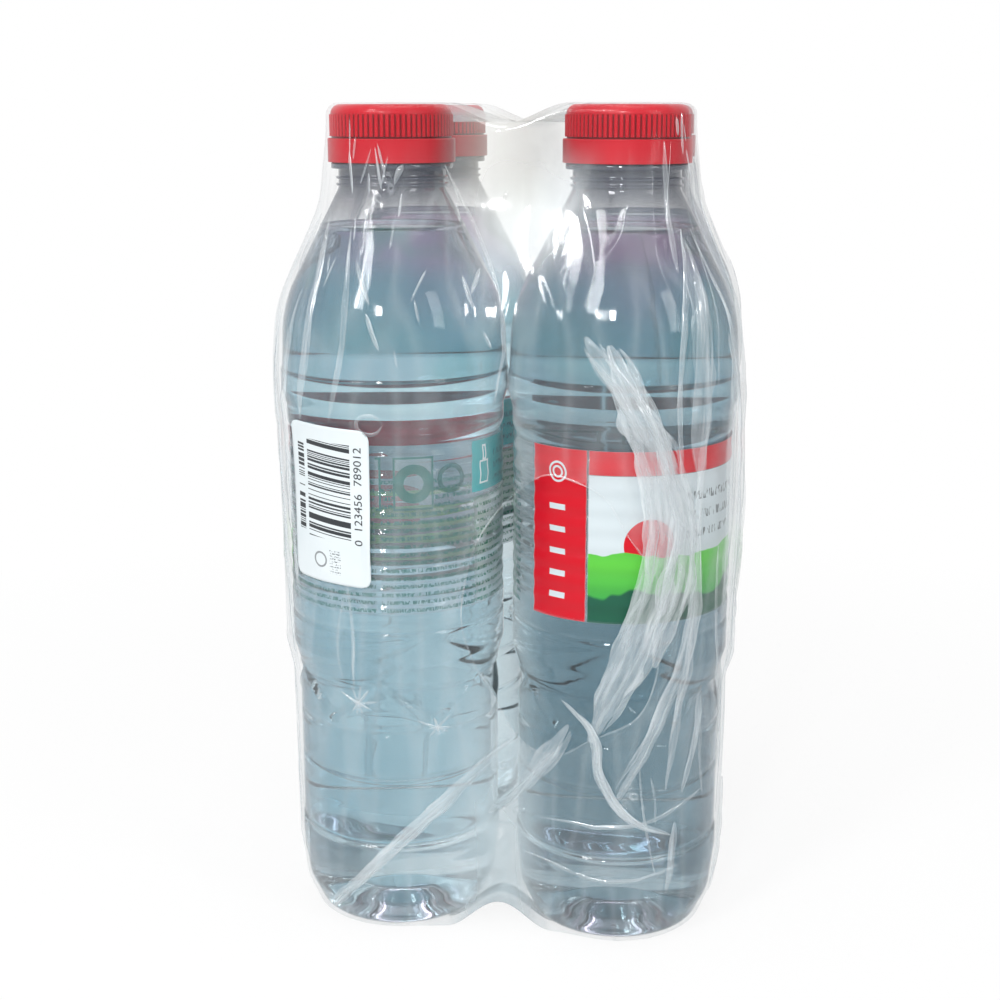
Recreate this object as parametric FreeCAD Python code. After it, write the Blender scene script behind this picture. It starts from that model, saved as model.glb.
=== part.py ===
"""A pack of four half-litre water bottles, two by two, in a shrink-film sleeve.

Millimetres, +Z up.  The origin is at the middle of the pack, on the surface it stands on.  The front of
the pack faces -Y.  The bottles stand on the floor of the film, their foot at height `foot_level`, and every
height in a bottle is measured from its foot.
"""

import FreeCAD
import Part

import math
import os

V = FreeCAD.Vector

# ---- the pack ------------------------------------------------------------------------------------
bottle_gap = 0.2             # between neighbouring bottles at their widest
film_wall = 0.4              # shrink film, with its folds
film_clearance = 0.2         # film to bottle, where the film is tight
rest_clearance = 0.05        # between two pieces that rest on each other

# ---- radii of one bottle, each from the one before -----------------------------------------------
body_radius = 28.6           # the slim part between the bowl and the step
base_proud = 0.4             # the smooth bowl at the bottom, over the slim part
heel_inset = 1.4             # heel, inside the bowl
foot_inset = 4.0             # outer edge of the foot, inside the heel
foot_width = 4.1             # the ring that the bottle stands on
dome_radius = 7.0            # flat middle of the hollow under the bottle
step_out = 1.7               # plain rings under and over the label, over the slim part
panel_recess = 0.4           # ribbed panel that the label is wrapped on, inside the plain rings
bulge_proud = 1.3            # widest part, over the plain rings
bulge_bevel = 0.4            # its upper edge, drawn in
shoulder_inset = 1.1         # where the shoulder turns in, inside the widest part
neck_radius = 14.5
neck_ring_proud = 0.7        # two thin rings at the foot of the neck
support_ring_proud = 1.9     # the ring that carries the bottle, just under the cap

# ---- heights of one bottle, each from the one before ---------------------------------------------
dome_height = 7.0            # the hollow under the bottle
heel_height = 8.5
bowl_height = 18.5           # from the heel up to the groove over the bowl
bowl_band = 6.0              # its upright part
slim_height = 48.0
step_height = 6.0
lower_ring_height = 15.0     # from the step up to the label
label_height = 47.4
upper_ring_height = 9.6      # from the label up to the widest part
upper_ring_flare = 4.5       # the top of that height, where it flares out
bulge_height = 6.0
bulge_bevel_height = 0.8
shoulder_low_height = 17.0   # up to where the shoulder turns in
shoulder_high_height = 31.0  # from there up to the foot of the neck
neck_ring_rises = (0.6, 2.4)  # over the foot of the neck
neck_ring_width = 0.7
support_ring_rise = 5.2
support_ring_width = 1.6

# ---- the wall and what is pressed into it --------------------------------------------------------
bottle_wall = 0.35
groove_depth = 0.6           # rings pressed into the bottle
groove_width = 2.0
groove_rises = (20.0, 33.0)  # over the bowl
ring_groove_drop = 6.0       # one more, under the label
panel_edge = 1.0             # plain wall over and under the ribbed panel
rib_count = 9                # ribs behind the label
rib_depth = 0.7
rib_land = 0.20              # share of a rib's pitch that stays out at the panel's radius
rib_floor = 0.30             # share of a rib's pitch that is pressed in
foot_groove_count = 5        # radial grooves that stiffen the foot
foot_groove_radius = 1.2
foot_groove_overrun = 2.0
peak_count = 6               # mountain-shaped panels round the slim part
peak_drop = 1.5              # their top, under the step
peak_height = 11.5
peak_relief = 0.6            # depth of the notches between them
peak_notch = 0.92            # share of the pitch that a notch takes at the top

# ---- roundings of the bottle ---------------------------------------------------------------------
dome_rounding = 8.0
foot_inner_rounding = 1.6
foot_outer_rounding = 5.0
heel_rounding = 10.0
bowl_rounding = 12.0
step_bottom_rounding = 3.0
step_top_rounding = 2.0
bulge_rounding = 2.0
shoulder_rounding = 35.0
neck_rounding = 3.0
crease_rounding = 0.8        # floors of grooves and ribs
edge_rounding = 0.6          # edges of grooves and bands

# ---- water, cap, label ---------------------------------------------------------------------------
air_height = 10.5            # from the water up to the foot of the neck
cap_height = 15.0
cap_wall = 1.4               # top of the cap
cap_side = 2.05              # side of the cap, over its ribs
cap_band_proud = 0.55        # tamper band, over the ribs
cap_band_height = 6.2
cap_band_rounding = 0.3
cap_top_rounding = 2.6
cap_rib_count = 72
cap_rib_depth = 0.35
cap_rib_shares = (0.0, 0.25, 0.65, 0.9)  # foot, crest, crest and foot of a rib, as shares of the pitch
cap_groove_depth = 0.5       # the parting line over the tamper band
cap_groove_width = 0.5
label_thickness = 0.1

# ---- film ----------------------------------------------------------------------------------------
foot_slack = 1.0             # film under the foot
slim_slack = 0.5             # film bridging the slim part
label_slack = 0.5            # film over the label
cap_slack = 1.6              # film bridging the neck
film_hollow = 4.0            # how far the film sinks in between two bottles
top_sag = 5.0                # sag of the film between the caps
foot_arch_margin = 1.5       # foot to the arch of film pulled up between the feet
foot_arch_drop = 0.6         # the arch's centre, under the floor
bridge_start = 12.0          # over the bowl, where the film leaves the bottle
bridge_end = 3.0             # under the step, where it meets it again
bulge_lead = 10.0            # under the widest part, where the film starts to widen
bulge_hold = 2.0             # over the widest part, where it starts to turn in
neck_lead = 4.0              # under the foot of the neck, where the film turns up
film_foot_rounding = 3.0
film_step_rounding = 8.0
film_edge_rounding = 6.0
film_bridge_rounding = 20.0
film_neck_rounding = 25.0
opening_width = 52.0         # the open ends of the sleeve, front and back
opening_height = 78.0
opening_middle = 96.0
opening_shift = 9.0          # front opening, towards +X; the back one is shifted the other way

# ---- sticker -------------------------------------------------------------------------------------
sticker_from = -51.0         # degrees round the front left bottle, 0 is -Y, positive towards +X
sticker_to = -2.0
sticker_rise = 7.5           # over the label's lower edge
sticker_height = 45.0
sticker_corner = 3.0
sticker_thickness = 0.15

# ---- worked out ----------------------------------------------------------------------------------
base_radius = body_radius + base_proud
heel_radius = base_radius - heel_inset
foot_outer_radius = heel_radius - foot_inset
foot_inner_radius = foot_outer_radius - foot_width
ring_radius = body_radius + step_out
panel_radius = ring_radius - panel_recess
bulge_radius = ring_radius + bulge_proud
shoulder_radius = bulge_radius - shoulder_inset
bore_radius = neck_radius + rest_clearance
cap_grip_radius = bore_radius + cap_side
cap_band_radius = cap_grip_radius + cap_band_proud

bowl_top = heel_height + bowl_height
step_bottom = bowl_top + slim_height
step_top = step_bottom + step_height
label_bottom = step_top + lower_ring_height
label_top = label_bottom + label_height
bulge_bottom = label_top + upper_ring_height
bulge_top = bulge_bottom + bulge_height
shoulder_height = bulge_top + shoulder_low_height
neck_bottom = shoulder_height + shoulder_high_height
support_ring_bottom = neck_bottom + support_ring_rise
cap_bottom = support_ring_bottom + support_ring_width + rest_clearance
cap_top = cap_bottom + cap_height
bottle_height = cap_top - cap_wall - rest_clearance
water_level = neck_bottom - air_height

bottle_pitch = 2 * max(bulge_radius, ring_radius, base_radius) + bottle_gap
pitch_half = bottle_pitch / 2
foot_level = film_wall + rest_clearance
film_top = foot_level + cap_top + rest_clearance + film_wall
foot_arch_radius = pitch_half - foot_outer_radius - film_wall - foot_arch_margin

bottle_places = {
    "front_left": V(-pitch_half, -pitch_half, 0),
    "front_right": V(pitch_half, -pitch_half, 0),
    "back_left": V(-pitch_half, pitch_half, 0),
    "back_right": V(pitch_half, pitch_half, 0),
}


# ---- helpers -------------------------------------------------------------------------------------
longest_reach = 0.49         # share of a straight run that one rounding may take
smallest_arc = 1e-3
on_axis = 1e-6
fixing = 1e-4


def rounded_wire(corners):
    """Open wire in the XZ plane through (radius, height, rounding) corners, each rounded by a tangent arc."""
    points = [V(r, 0, z) for r, z, _ in corners]
    edges = []
    at = points[0]
    for before, corner, after, (_, _, rounding) in zip(points, points[1:], points[2:], corners[1:]):
        back = (before - corner).normalize()
        ahead = (after - corner).normalize()
        half = back.getAngle(ahead) / 2
        room = longest_reach * min((before - corner).Length, (after - corner).Length)
        reach = min(rounding / math.tan(half), room)
        if reach < smallest_arc or half > math.pi / 2 - smallest_arc:
            edges.append(Part.makeLine(at, corner))
            at = corner
            continue
        radius = reach * math.tan(half)
        middle = corner + (back + ahead).normalize() * (radius / math.sin(half) - radius)
        start, end = corner + back * reach, corner + ahead * reach
        edges.append(Part.makeLine(at, start))
        edges.append(Part.Arc(start, middle, end).toShape())
        at = end
    edges.append(Part.makeLine(at, points[-1]))
    return Part.Wire(edges)


def moved_in(wire, distance):
    """The wire moved sideways into the material it bounds."""
    if distance == 0:
        return wire
    return wire.makeOffset2D(distance, join=2, fill=False, openResult=True).Wires[0]


def closed_to_axis(wire):
    """Face between an open outline and the axis."""
    ends = [wire.OrderedVertexes[0].Point, wire.OrderedVertexes[-1].Point]
    low, high = sorted(ends, key=lambda point: point.z)
    edges = list(wire.OrderedEdges)
    if high.x > on_axis:
        edges.append(Part.makeLine(high, V(0, 0, high.z)))
    edges.append(Part.makeLine(V(0, 0, high.z), V(0, 0, low.z)))
    if low.x > on_axis:
        edges.append(Part.makeLine(V(0, 0, low.z), low))
    return Part.Face(Part.Wire(Part.sortEdges(edges)[0]))


def turned(face, degrees=360):
    return face.revolve(V(0, 0, 0), V(0, 0, 1), degrees)


def ring(inner, outer, bottom, height):
    foot = V(0, 0, bottom)
    return Part.makeCylinder(outer, height, foot).cut(Part.makeCylinder(inner, height, foot))


def save(name, shape):
    if not shape.isValid():
        shape.fix(fixing, fixing, fixing)
    if len(shape.Solids) == 1:
        shape = shape.Solids[0]
    print(f"{name:20s} solids {len(shape.Solids)} valid {shape.isValid()} volume {shape.Volume / 1000:.3f} cm3")
    shape.exportStep(f"parts/{name}.step")


# ---- bottle --------------------------------------------------------------------------------------
def groove(height, radius):
    """Corners of one ring pressed into a wall of the given radius."""
    half = groove_width / 2
    return [
        (radius, height - half, edge_rounding),
        (radius - groove_depth, height, crease_rounding),
        (radius, height + half, edge_rounding),
    ]


def ribbed_panel():
    """Corners of the panel behind the label, with ribs at an even pitch."""
    pitch = label_height / rib_count
    half_out = (1 - rib_land) * pitch / 2
    half_in = rib_floor * pitch / 2
    corners = []
    for i in range(rib_count):
        middle = label_bottom + (i + 0.5) * pitch
        corners.append((panel_radius, middle - half_out, crease_rounding))
        corners.append((panel_radius - rib_depth, middle - half_in, crease_rounding))
        corners.append((panel_radius - rib_depth, middle + half_in, crease_rounding))
        corners.append((panel_radius, middle + half_out, crease_rounding))
    return corners


def bottle_outline():
    half = groove_width / 2
    corners = [
        (0, dome_height, 0),
        (dome_radius, dome_height, dome_rounding),
        (foot_inner_radius, 0, foot_inner_rounding),
        (foot_outer_radius, 0, foot_outer_rounding),
        (heel_radius, heel_height, heel_rounding),
        (base_radius, bowl_top - bowl_band, bowl_rounding),
        (base_radius, bowl_top - half, edge_rounding),
        (body_radius - groove_depth, bowl_top, crease_rounding),
        (body_radius, bowl_top + half, edge_rounding),
    ]
    for rise in groove_rises:
        corners += groove(bowl_top + rise, body_radius)
    corners += [(body_radius, step_bottom, step_bottom_rounding), (ring_radius, step_top, step_top_rounding)]
    corners += groove(label_bottom - ring_groove_drop, ring_radius)
    corners.append((ring_radius, label_bottom - panel_edge, edge_rounding))
    corners += ribbed_panel()
    corners += [
        (ring_radius, label_top + panel_edge, edge_rounding),
        (ring_radius, bulge_bottom - upper_ring_flare, bulge_rounding),
        (bulge_radius, bulge_bottom, bulge_rounding),
        (bulge_radius, bulge_top - bulge_bevel_height, edge_rounding),
        (bulge_radius - bulge_bevel, bulge_top, edge_rounding),
        (shoulder_radius, shoulder_height, shoulder_rounding),
        (neck_radius, neck_bottom, neck_rounding),
        (neck_radius, bottle_height, 0),
    ]
    return rounded_wire(corners)


def foot_grooves(extra):
    """Rods across the foot that press radial grooves into it; extra thickens them for the inner wall."""
    length = foot_width + 2 * foot_groove_overrun
    start = V(foot_inner_radius - foot_groove_overrun, 0, 0)
    rods = []
    for i in range(foot_groove_count):
        rod = Part.makeCylinder(foot_groove_radius + extra, length, start, V(1, 0, 0))
        rod.rotate(V(0, 0, 0), V(0, 0, 1), 360 / foot_groove_count * (i + 0.5))
        rods.append(rod)
    return rods[0].multiFuse(rods[1:])


def bottle_body(inset):
    """Solid of the bottle's outer shape, moved in by inset."""
    body = turned(closed_to_axis(moved_in(bottle_outline(), inset)))
    return body.cut(foot_grooves(inset))


def mountain_notches():
    """V-shaped cuts between the mountain-shaped panels, down to the floor of the relief."""
    half = peak_notch * math.pi * body_radius / peak_count
    top = step_bottom - peak_drop
    outline = Part.makePolygon([
        V(0, -half, top),
        V(0, 0, top - peak_height),
        V(0, half, top),
        V(0, -half, top),
    ])
    wedge = Part.Face(outline).extrude(V(2 * body_radius, 0, 0))
    notches = []
    for i in range(peak_count):
        notch = wedge.copy()
        notch.rotate(V(0, 0, 0), V(0, 0, 1), 360 / peak_count * i)
        notches.append(notch)
    core = Part.makeCylinder(body_radius - peak_relief, bottle_height)
    return notches[0].multiFuse(notches[1:]).cut(core)


def bottle():
    shape = bottle_body(0).cut(mountain_notches())
    in_wall = neck_radius - bottle_wall / 2
    rings = [ring(in_wall, neck_radius + support_ring_proud, support_ring_bottom, support_ring_width)]
    for rise in neck_ring_rises:
        rings.append(ring(in_wall, neck_radius + neck_ring_proud, neck_bottom + rise, neck_ring_width))
    shape = shape.multiFuse(rings)
    return shape.cut(bottle_body(bottle_wall))


def water():
    above = Part.makeCylinder(2 * bulge_radius, bottle_height, V(0, 0, water_level))
    return bottle_body(bottle_wall + rest_clearance).cut(above)


def label():
    inner = panel_radius + rest_clearance
    return ring(inner, inner + label_thickness, label_bottom, label_height)


# ---- cap -----------------------------------------------------------------------------------------
def cap():
    """Screw cap standing on its tamper band, at height 0."""
    band_top = cap_band_height + cap_groove_width
    grip_top = cap_height - cap_top_rounding
    parting_radius = cap_grip_radius - cap_groove_depth
    rib_foot_radius = cap_grip_radius - cap_rib_depth
    corners = [
        (cap_band_radius, 0, 0),
        (cap_band_radius, cap_band_height, cap_band_rounding),
        (parting_radius, cap_band_height, 0),
        (parting_radius, band_top, 0),
        (rib_foot_radius, band_top, 0),
        (rib_foot_radius, cap_height, cap_top_rounding),
        (0, cap_height, 0),
    ]
    ribs = toothed_cylinder(cap_grip_radius, cap_rib_depth, cap_rib_count, band_top, grip_top)
    solid = turned(closed_to_axis(rounded_wire(corners))).fuse(ribs)
    return solid.cut(Part.makeCylinder(bore_radius, cap_height - cap_wall))


def toothed_cylinder(radius, depth, count, bottom, top):
    """Cylinder with count upright ribs round it."""
    step = 2 * math.pi / count
    points = []
    for i in range(count):
        for share, at in zip(cap_rib_shares, (radius - depth, radius, radius, radius - depth)):
            angle = (i + share) * step
            points.append(V(at * math.cos(angle), at * math.sin(angle), bottom))
    points.append(points[0])
    return Part.Face(Part.makePolygon(points)).extrude(V(0, 0, top - bottom))


# ---- film and sticker ----------------------------------------------------------------------------
def film_outline():
    """Outline of the film round one bottle, from the floor to the top, tight on the wide parts only."""
    tight = film_clearance + film_wall
    slim_film = body_radius + slim_slack + tight
    label_film = ring_radius + label_slack + tight
    bulge_film = bulge_radius + tight
    band_film = cap_band_radius + tight
    corners = [
        (foot_outer_radius + foot_slack, -foot_level, film_foot_rounding),
        (heel_radius + tight, heel_height, bowl_rounding),
        (base_radius + tight, bowl_top - bowl_band, bowl_rounding),
        (slim_film, bowl_top + bridge_start, film_bridge_rounding),
        (slim_film, step_bottom - bridge_end, film_step_rounding),
        (label_film, step_top, film_step_rounding),
        (label_film, bulge_bottom - bulge_lead, film_bridge_rounding),
        (bulge_film, bulge_bottom - edge_rounding, film_edge_rounding),
        (bulge_film, bulge_top + bulge_hold, bowl_rounding),
        (shoulder_radius + tight, shoulder_height, shoulder_rounding),
        (band_film + cap_slack, neck_bottom - neck_lead, film_neck_rounding),
        (band_film, cap_bottom + cap_band_height, film_step_rounding),
        (cap_grip_radius + tight, film_top - foot_level, cap_top_rounding + tight),
    ]
    raised = [(radius, foot_level + height, rounding) for radius, height, rounding in corners]
    return rounded_wire([(0, 0, 0)] + raised + [(0, film_top, 0)])


def side_centre():
    """How far outside a row of bottle axes the film's hollow between two bottles has its centre."""
    return (pitch_half ** 2 - film_hollow ** 2) / (2 * film_hollow)


def inner_block(bottom, height):
    """Block between the four bottle axes, with hollow sides."""
    edge = pitch_half - film_hollow
    corners = [V(-pitch_half, -pitch_half, 0), V(pitch_half, -pitch_half, 0),
               V(pitch_half, pitch_half, 0), V(-pitch_half, pitch_half, 0)]
    middles = [V(0, -edge, 0), V(edge, 0, 0), V(0, edge, 0), V(-edge, 0, 0)]
    sides = []
    for i in range(4):
        sides.append(Part.Arc(corners[i], middles[i], corners[(i + 1) % 4]).toShape())
    block = Part.Face(Part.Wire(sides)).extrude(V(0, 0, height))
    block.translate(V(0, 0, bottom))
    return block


def valleys(inset):
    """Cutters for the film's sags: across the top between the caps, and up between the feet."""
    half_gap = pitch_half - cap_band_radius
    top_radius = (half_gap ** 2 + top_sag ** 2) / (2 * top_sag)
    reach = 4 * bottle_pitch
    cutters = []
    for direction in (V(1, 0, 0), V(0, 1, 0)):
        start = direction * (-reach / 2) + V(0, 0, film_top - top_sag + top_radius)
        cutters.append(Part.makeCylinder(top_radius + inset, reach, start, direction))
        start = direction * (-reach / 2) + V(0, 0, -foot_arch_drop)
        cutters.append(Part.makeCylinder(foot_arch_radius + inset, reach, start, direction))
    return cutters


def sleeve_body(inset):
    """Solid of the film's outer shape, moved in by inset.

    The outline turns round each bottle and then follows a hollow arc to the next one.
    """
    outline = closed_to_axis(moved_in(film_outline(), inset))
    depth = side_centre()
    hollow_angle = math.degrees(math.atan(pitch_half / depth))
    box = outline.BoundBox
    pieces = []
    for i in range(4):
        corner = turned(outline, 90 + 2 * hollow_angle)
        corner.rotate(V(0, 0, 0), V(0, 0, 1), -hollow_angle)
        corner.translate(V(pitch_half, pitch_half, 0))
        side = outline.copy()
        side.rotate(V(0, 0, 0), V(0, 0, 1), hollow_angle)
        side.translate(V(pitch_half, -pitch_half, 0))
        side = side.revolve(V(pitch_half + depth, 0, 0), V(0, 0, 1), -2 * hollow_angle)
        for piece in (corner, side):
            piece.rotate(V(0, 0, 0), V(0, 0, 1), 90 * i)
            pieces.append(piece)
    body = inner_block(box.ZMin, box.ZLength).multiFuse(pieces).removeSplitter()
    return body.cut(valleys(inset))


def opening(shift, towards):
    """Round-ended cutter for one open end of the sleeve."""
    half_width, half_height = opening_width / 2, opening_height / 2
    start = V(shift, 0, opening_middle)
    oval = Part.Ellipse(start + V(0, 0, half_height), start + V(half_width, 0, 0), start)
    face = Part.Face(Part.Wire(oval.toShape()))
    return face.extrude(V(0, towards * 2 * bottle_pitch, 0))


def film():
    shell = sleeve_body(0).cut(sleeve_body(film_wall))
    return shell.cut(opening(opening_shift, -1)).cut(opening(-opening_shift, 1))


def sticker_cutter(bottom):
    """Wedge with rounded corners that cuts the sticker out of a skin round the bottle."""
    reach = 2 * bulge_radius
    corner_turn = math.degrees(sticker_corner / (bulge_radius + film_wall))
    tall = Part.makeCylinder(reach, sticker_height, V(0, 0, bottom), V(0, 0, 1),
                             sticker_to - sticker_from - 2 * corner_turn)
    tall.rotate(V(0, 0, 0), V(0, 0, 1), corner_turn)
    wide = Part.makeCylinder(reach, sticker_height - 2 * sticker_corner, V(0, 0, bottom + sticker_corner),
                             V(0, 0, 1), sticker_to - sticker_from)
    rounds = []
    for turn in (corner_turn, sticker_to - sticker_from - corner_turn):
        for height in (bottom + sticker_corner, bottom + sticker_height - sticker_corner):
            rod = Part.makeCylinder(sticker_corner, reach, V(0, 0, height), V(1, 0, 0))
            rod.rotate(V(0, 0, 0), V(0, 0, 1), turn)
            rounds.append(rod)
    cutter = tall.multiFuse([wide] + rounds)
    cutter.rotate(V(0, 0, 0), V(0, 0, 1), sticker_from - 90)
    return cutter


def sticker():
    """Sticker on the film, wrapped round the front left bottle."""
    inner = turned(closed_to_axis(moved_in(film_outline(), -rest_clearance)))
    outer = turned(closed_to_axis(moved_in(film_outline(), -rest_clearance - sticker_thickness)))
    return outer.cut(inner).common(sticker_cutter(foot_level + label_bottom + sticker_rise))


# ---- write ---------------------------------------------------------------------------------------
def main():
    os.makedirs("parts", exist_ok=True)
    pieces = {
        "bottle": (bottle(), 0),
        "water": (water(), 0),
        "label": (label(), 0),
        "cap": (cap(), cap_bottom),
    }
    for kind, (shape, height) in pieces.items():
        for place, position in bottle_places.items():
            copy = shape.copy()
            copy.translate(position + V(0, 0, foot_level + height))
            save(f"{kind}_{place}", copy)
    save("film", film())
    stuck = sticker()
    stuck.translate(bottle_places["front_left"])
    save("sticker", stuck)


main()
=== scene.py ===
import math
import random

import bmesh
import bpy
from bpy.props import FloatProperty, FloatVectorProperty, IntProperty, PointerProperty
import numpy as np
from mathutils import Matrix, Vector, noise


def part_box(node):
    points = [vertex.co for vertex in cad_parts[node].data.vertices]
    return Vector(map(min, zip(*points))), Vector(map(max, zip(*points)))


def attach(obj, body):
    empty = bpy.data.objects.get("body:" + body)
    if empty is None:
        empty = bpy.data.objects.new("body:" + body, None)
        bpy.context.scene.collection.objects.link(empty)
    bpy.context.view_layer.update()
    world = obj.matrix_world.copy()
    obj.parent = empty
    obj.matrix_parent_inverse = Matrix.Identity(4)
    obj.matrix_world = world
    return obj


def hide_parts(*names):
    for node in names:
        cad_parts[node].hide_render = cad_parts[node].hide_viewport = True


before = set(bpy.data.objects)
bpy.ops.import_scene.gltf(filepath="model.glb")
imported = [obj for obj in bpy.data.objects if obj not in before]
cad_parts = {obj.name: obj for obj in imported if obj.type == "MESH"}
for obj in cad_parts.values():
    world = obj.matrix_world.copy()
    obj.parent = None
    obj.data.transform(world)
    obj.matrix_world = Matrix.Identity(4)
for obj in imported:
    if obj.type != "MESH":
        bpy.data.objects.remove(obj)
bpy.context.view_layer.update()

bl_info = {
    "name": "Water Bottle Pack",
    "version": (1, 0, 0),
    "blender": (4, 5, 0),
    "location": "View3D > Sidebar > Bottle Pack",
    "description": "Builds four water bottles in a shrink-film sleeve on their CAD frame",
    "category": "Add Mesh",
}

PLACES = ("front_left", "front_right", "back_left", "back_right")
MM = 0.001


# ---- places, from the frame ----------------------------------------------------------------------------------
def axis_of(place):
    """Upright axis of a bottle, as a point on the floor."""
    low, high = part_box(f"cap_{place}")
    return Vector(((low.x + high.x) / 2, (low.y + high.y) / 2, 0.0))


AXES = {place: axis_of(place) for place in PLACES}
PITCH_HALF = (AXES["front_right"].x - AXES["front_left"].x) / 2
LABEL_LOW, LABEL_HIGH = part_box("label_front_left")
LABEL_RADIUS = (LABEL_HIGH.x - LABEL_LOW.x) / 2
PRINT_LOW, PRINT_HIGH = LABEL_LOW.z - 0.8 * MM, LABEL_HIGH.z - 1.6 * MM
STICKER_LOW, STICKER_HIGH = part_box("sticker")
WATER_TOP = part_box("water_front_left")[1].z
CAP_LOW, CAP_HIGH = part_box("cap_front_left")


# ---- sizes and colours a user would change -------------------------------------------------------------------
def length(name, description, default):
    return FloatProperty(name=name, description=description, default=default, unit="LENGTH", precision=5)


def share(name, description, default):
    return FloatProperty(name=name, description=description, default=default, min=0, max=1, subtype="FACTOR")


def colour(name, description, default):
    return FloatVectorProperty(name=name, description=description, default=default, size=3, min=0, max=1,
                               subtype="COLOR")


class PackBottles(bpy.types.PropertyGroup):
    segments: IntProperty(name="Segments", description="Facets round a bottle", default=144, min=24)
    wall_bite: length("Wall Bite", "How far the water reaches into the wall", 0.2 * MM)
    relief: length("Panel Relief", "Depth of the notches between the mountain-shaped panels", 1.2 * MM)
    peaks: IntProperty(name="Panels", description="Mountain-shaped panels round a bottle", default=6, min=3)
    peak_low: length("Panel Bottom", "Height of the notches' lower tips", 62.4 * MM)
    peak_high: length("Panel Top", "Height of the notches' upper ends", 73.9 * MM)
    # pale_top and teal_top bound bands of painted light in the water's colour, which stand for the back labels and
    # the room seen through it
    pale_top: length("Pale Top", "Height where the pale water over the label ends", 158.5 * MM)
    teal_top: length("Teal Top", "Height where the teal water ends", 176 * MM)
    meniscus: length("Meniscus", "Height of the water's curled-up rim", 0.9 * MM)
    plastic: colour("Plastic", "Tint of the clear plastic", (0.24, 0.31, 0.37))
    # painted shade: this near-black tint stands for the dark that the thick clear neck shows, and is not a colour of
    # the plastic
    neck: colour("Neck", "Tint of the thick plastic of the neck", (0.055, 0.065, 0.10))
    # partly painted shade: besides a faint tint of its own, the water's blue-grey stands for the darker room seen
    # through it
    water: colour("Water", "Tint of the water", (0.53, 0.69, 0.77))


class PackPrint(bpy.types.PropertyGroup):
    red: colour("Red", "Label banner", (0.56, 0.003, 0.014))
    cap: colour("Cap", "Moulded caps", (0.46, 0.002, 0.012))
    teal: colour("Teal", "Tag on the label's back", (0.03, 0.40, 0.42))
    ink: colour("Ink", "Fine lines and small marks", (0.05, 0.16, 0.15))
    white: colour("White", "White block of the label", (0.57, 0.64, 0.67))
    leaf: colour("Leaf", "Bright part of the hills", (0.10, 0.50, 0.05))
    wood: colour("Wood", "Dark part of the hills", (0.01, 0.09, 0.05))
    rib_dip: length("Rib Dip", "How far the label sinks over a rib", 0.25 * MM)
    ribs: IntProperty(name="Ribs", description="Ribs behind a label", default=9, min=1)


class PackFilm(bpy.types.PropertyGroup):
    front_columns: IntProperty(name="Front Columns", description="Columns over the front half", default=270, min=40)
    back_columns: IntProperty(name="Back Columns", description="Columns over the back half", default=160, min=40)
    rows: IntProperty(name="Rows", description="Rows up the side", default=185, min=40)
    hollow: length("Hollow", "How far the film sinks in between two bottles", 4.0 * MM)
    slack: length("Slack", "Depth of the loose waves", 0.9 * MM)
    top_sag: length("Top Sag", "Sag between the caps", 0.3 * MM)
    open_shift: length("Opening Shift", "Middle of the front opening, to the right", 18.0 * MM)
    open_middle: length("Opening Middle", "Height of the openings' middle", 96.0 * MM)
    open_width: length("Opening Width", "Width of an open end", 52.0 * MM)
    open_height: length("Opening Height", "Height of an open end", 78.0 * MM)
    foot_lift: length("Foot Lift", "How far the film is drawn up between the feet", 3.0 * MM)
    tint: colour("Tint", "Colour of the film's haze", (0.70, 0.76, 0.79))
    haze: share("Haze", "Milkiness of the smooth film", 0.05)


class PackStage(bpy.types.PropertyGroup):
    lens: length("Lens", "Focal length", 57.4 * MM)
    room: share("Room", "Brightness of the room light", 0.36)


# ---- helpers -------------------------------------------------------------------------------------------------
def props(name):
    return getattr(bpy.context.scene, name)


def as_mesh(name, bm):
    """The bmesh as a mesh; the bmesh is freed."""
    mesh = bpy.data.meshes.new(name)
    bm.to_mesh(mesh)
    bm.free()
    return mesh


def linked(name, data):
    """New object in the scene."""
    thing = bpy.data.objects.new(name, data)
    bpy.context.scene.collection.objects.link(thing)
    return thing


def make_piece(name, bm, material, replaced=()):
    """Turns a bmesh into a finished piece that rides on the pack."""
    return piece_from_mesh(name, as_mesh(name, bm), material, replaced)


def piece_from_mesh(name, mesh, material, replaced=()):
    mesh.materials.clear()
    mesh.materials.append(material)
    for polygon in mesh.polygons:
        polygon.use_smooth = True
    piece = linked(name, mesh)
    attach(piece, "root")
    if replaced:
        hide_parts(*replaced)
    return piece


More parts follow.
